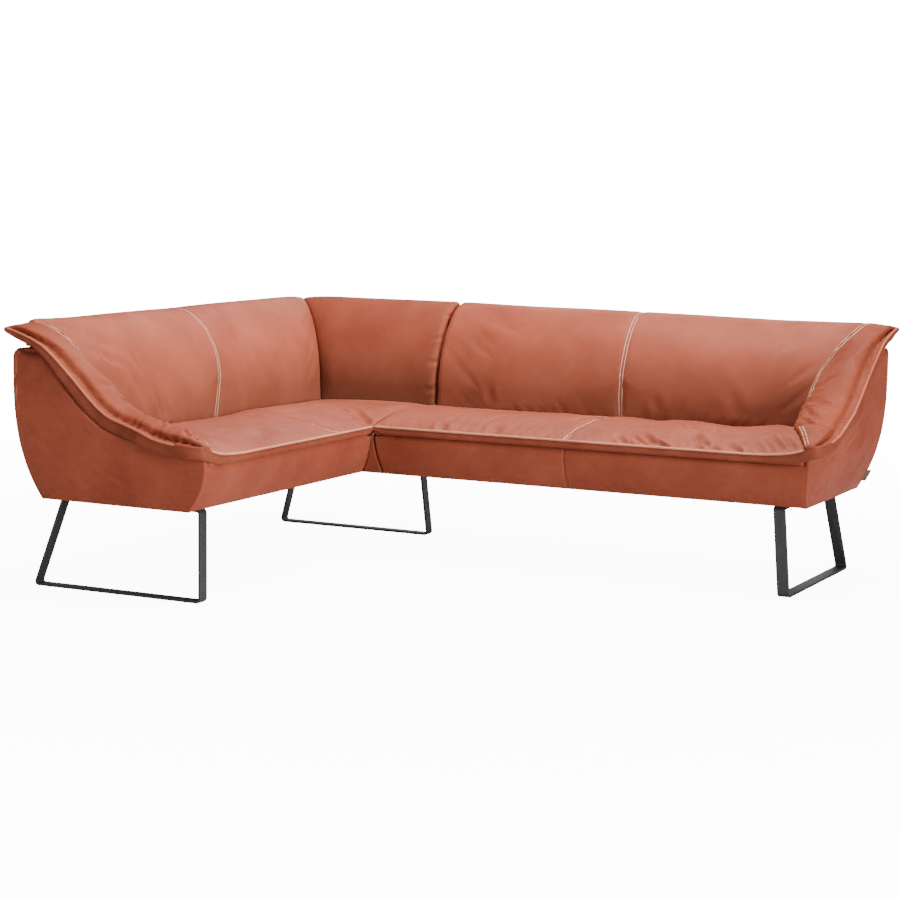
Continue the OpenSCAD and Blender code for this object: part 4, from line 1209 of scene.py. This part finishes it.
for name, unit, side, seams, seed, size in (
        ("long_front", LONG, LONG_SIDE, middle_seam(-0.018), 3, 0.12),
        ("short_front", CORNER, SHORT_SIDE, (), 5, 0.12),
        ("inner_corner", LONG, CORNER_SIDE, (), 7, 0.05)):
    make_panel(name + "_leather", unit, front_face(*side), side[1] - side[0], FRONT_H, [name + "_panel"],
               seams=seams, relief=uneven_padding(seed, 0.0012, size), tuck=0.012)
# The right end panel takes the arms' darker copy of the hide, painted shade.
for name, unit, length, lower, folds, seed, step, material in (
        ("right", LONG, LONG_LEN, long_lower, RIGHT_END_FOLDS, 9, 0.006, ARM_SHADED_LEATHER),
        ("left", CORNER, SHORT_LEN, short_lower, (), 11, 0.008, LEATHER)):
    make_panel(name + "_end_leather", unit, end_face(length, lower), END_W, SHELL_H, [name + "_end_panel"],
               relief=uneven_padding(seed, 0.0014, 0.12), tuck=0.024, tuck_h=0.015, folds=folds, step=step,
               material=material)
for name, unit, length, lower in (
        ("right", LONG, LONG_LEN, long_lower),
        ("left", CORNER, SHORT_LEN, short_lower)):
    make_panel(name + "_arm_foam", unit, block_face(length, lower), DEPTH + 0.07, SHELL_H - BLOCK_LIFT,
               [name + "_arm_block"], thickness=0.066, radius=0.012, tuck=0.026, tuck_h=0.020,
               material=FOAM)
for name, unit, side, seams, seed in (
        ("long_rear", LONG, LONG_SIDE, middle_seam(0), 13),
        ("short_rear", CORNER, SHORT_SIDE, (), 15),
        ("corner_rear", LONG, CORNER_SIDE, (), 17)):
    across = side[1] - side[0] + (DEPTH if len(side) > 2 else 0)
    make_panel(name + "_leather", unit, rear_face(*side), across, SHELL_H, [name + "_panel"], seams=seams,
               relief=uneven_padding(seed, 0.0014, 0.14))


def make_tag(low, high):
    """Blank cloth tag, folded over and sewn into the right end's rear seam."""
    fold = [(-0.012, -0.0014), (0.000, -0.0016), (0.010, -0.0020), (0.0137, -0.0017), (0.0150, 0.0),
            (0.0137, 0.0017), (0.010, 0.0020), (0.000, 0.0016), (-0.012, 0.0014)]
    rings = []
    for t in np.linspace(0, 1, 12):
        z = mix(low, high, t)
        lift = 0.0012 * math.sin(3 * t)
        base = (LONG_LEN + end_out(z, DEPTH) - 0.003, DEPTH + rear_out(z) - 0.004 + lift, z)
        rings.append([(base[0] + 0.93 * x - 0.36 * y, base[1] + 0.36 * x + 0.93 * y, z) for x, y in fold])
    rings = halve(np.array(rings), 1, True)
    add_piece("blank_tag_cloth", LONG, rings, skin_faces(*rings.shape[:2]), TAG, ["blank_tag"])


make_tag(0.319, 0.356)
for name, unit, length in (("right", LONG, LONG_LEN), ("left", CORNER, SHORT_LEN)):
    make_panel(name + "_shoulder_leather", unit, shoulder_face(length), 0.074, 0.12, [], thickness=0.010)


# Camera, light and floor

# The camera was fitted to straight edges of the base and the sled frames in the photo
CAMERA_PLACE = (3.26026, -6.63726, 1.366)
CAMERA_YAW = math.radians(26.57)
CAMERA_PITCH = math.radians(7.16)
CAMERA_ROLL = math.radians(0.84)
CAMERA_LENS = 91.54

# Strengths of the white surroundings: as the camera sees them, at the floor's middle, and as light
BACKGROUND = 17.0
FLOOR_GLOW = 11.0
AMBIENT = 0.30


def add_camera():
    forward = Vector((-math.sin(CAMERA_YAW) * math.cos(CAMERA_PITCH),
                      math.cos(CAMERA_YAW) * math.cos(CAMERA_PITCH), -math.sin(CAMERA_PITCH)))
    level = Vector((math.cos(CAMERA_YAW), math.sin(CAMERA_YAW), 0))
    above = level.cross(forward)
    right = level * math.cos(CAMERA_ROLL) + above * math.sin(CAMERA_ROLL)
    up = above * math.cos(CAMERA_ROLL) - level * math.sin(CAMERA_ROLL)
    camera = bpy.data.objects.new("camera", bpy.data.cameras.new("camera"))
    camera.matrix_world = Matrix((right, up, -forward)).transposed().to_4x4()
    camera.location = CAMERA_PLACE
    camera.data.lens = CAMERA_LENS
    camera.data.sensor_width = 36
    camera.data.clip_end = 200
    bpy.context.scene.collection.objects.link(camera)
    bpy.context.scene.camera = camera


def add_light(name, place, target, size, power, colour=(1, 1, 1)):
    data = bpy.data.lights.new(name, "AREA")
    data.shape = "RECTANGLE"
    data.size, data.size_y = size
    data.energy = power
    data.color = colour
    light = bpy.data.objects.new(name, data)
    light.location = place
    light.rotation_mode = "QUATERNION"
    light.rotation_quaternion = (Vector(target) - Vector(place)).to_track_quat("-Z", "Y")
    bpy.context.scene.collection.objects.link(light)


def add_stage():
    """Pale floor that turns into the white background far from the sofa."""
    size = 40.0
    mesh = bpy.data.meshes.new("floor")
    corners = [(-size, -size, 0), (size, -size, 0), (size, size, 0), (-size, size, 0)]
    mesh.from_pydata(corners, [], [(0, 1, 2, 3)])
    floor = bpy.data.objects.new("floor", mesh)
    bpy.context.scene.collection.objects.link(floor)
    material, tree, shader = new_material("pale_floor")
    shader.inputs["Base Color"].default_value = (0.50, 0.50, 0.50, 1)
    shader.inputs["Roughness"].default_value = 0.85
    coords = object_place(tree)
    distance = node(tree, "VectorMath", {0: coords}, operation="LENGTH").outputs["Value"]
    seen = node(tree, "LightPath").outputs["Is Camera Ray"]
    far = node(tree, "MapRange", {"Value": distance, "From Min": 1.6, "From Max": 6.0,
                                  "To Min": FLOOR_GLOW, "To Max": BACKGROUND}).outputs["Result"]
    glow = node(tree, "Math", {0: far, 1: seen}, operation="MULTIPLY").outputs[0]
    shader.inputs["Emission Color"].default_value = (1, 1, 1, 1)
    tree.links.new(glow, shader.inputs["Emission Strength"])
    floor.data.materials.append(material)


def add_world():
    world = bpy.data.worlds.new("studio")
    world.use_nodes = True
    tree = world.node_tree
    seen = node(tree, "LightPath").outputs["Is Camera Ray"]
    strength = node(tree, "MapRange", {"Value": seen, "To Min": AMBIENT, "To Max": BACKGROUND})
    background = next(n for n in tree.nodes if n.type == "BACKGROUND")
    background.inputs["Color"].default_value = (1, 1, 1, 1)
    tree.links.new(strength.outputs["Result"], background.inputs["Strength"])
    bpy.context.scene.world = world


add_camera()
add_light("overhead", (0.3, 0.1, 4.0), (0.0, 0.2, 0.5), (2.6, 2.0), 480)
add_light("key", (15.0, -4.5, 3.0), (0.0, -0.2, 0.5), (5.5, 4.5), 4700)
add_light("fill", (-1.6, -6.4, 0.9), (0.0, 0.0, 0.3), (4.0, 1.2), 92)
add_light("rear", (-1.0, 5.0, 3.4), (0.0, 0.0, 0.5), (4.0, 3.0), 115)
add_world()
add_stage()
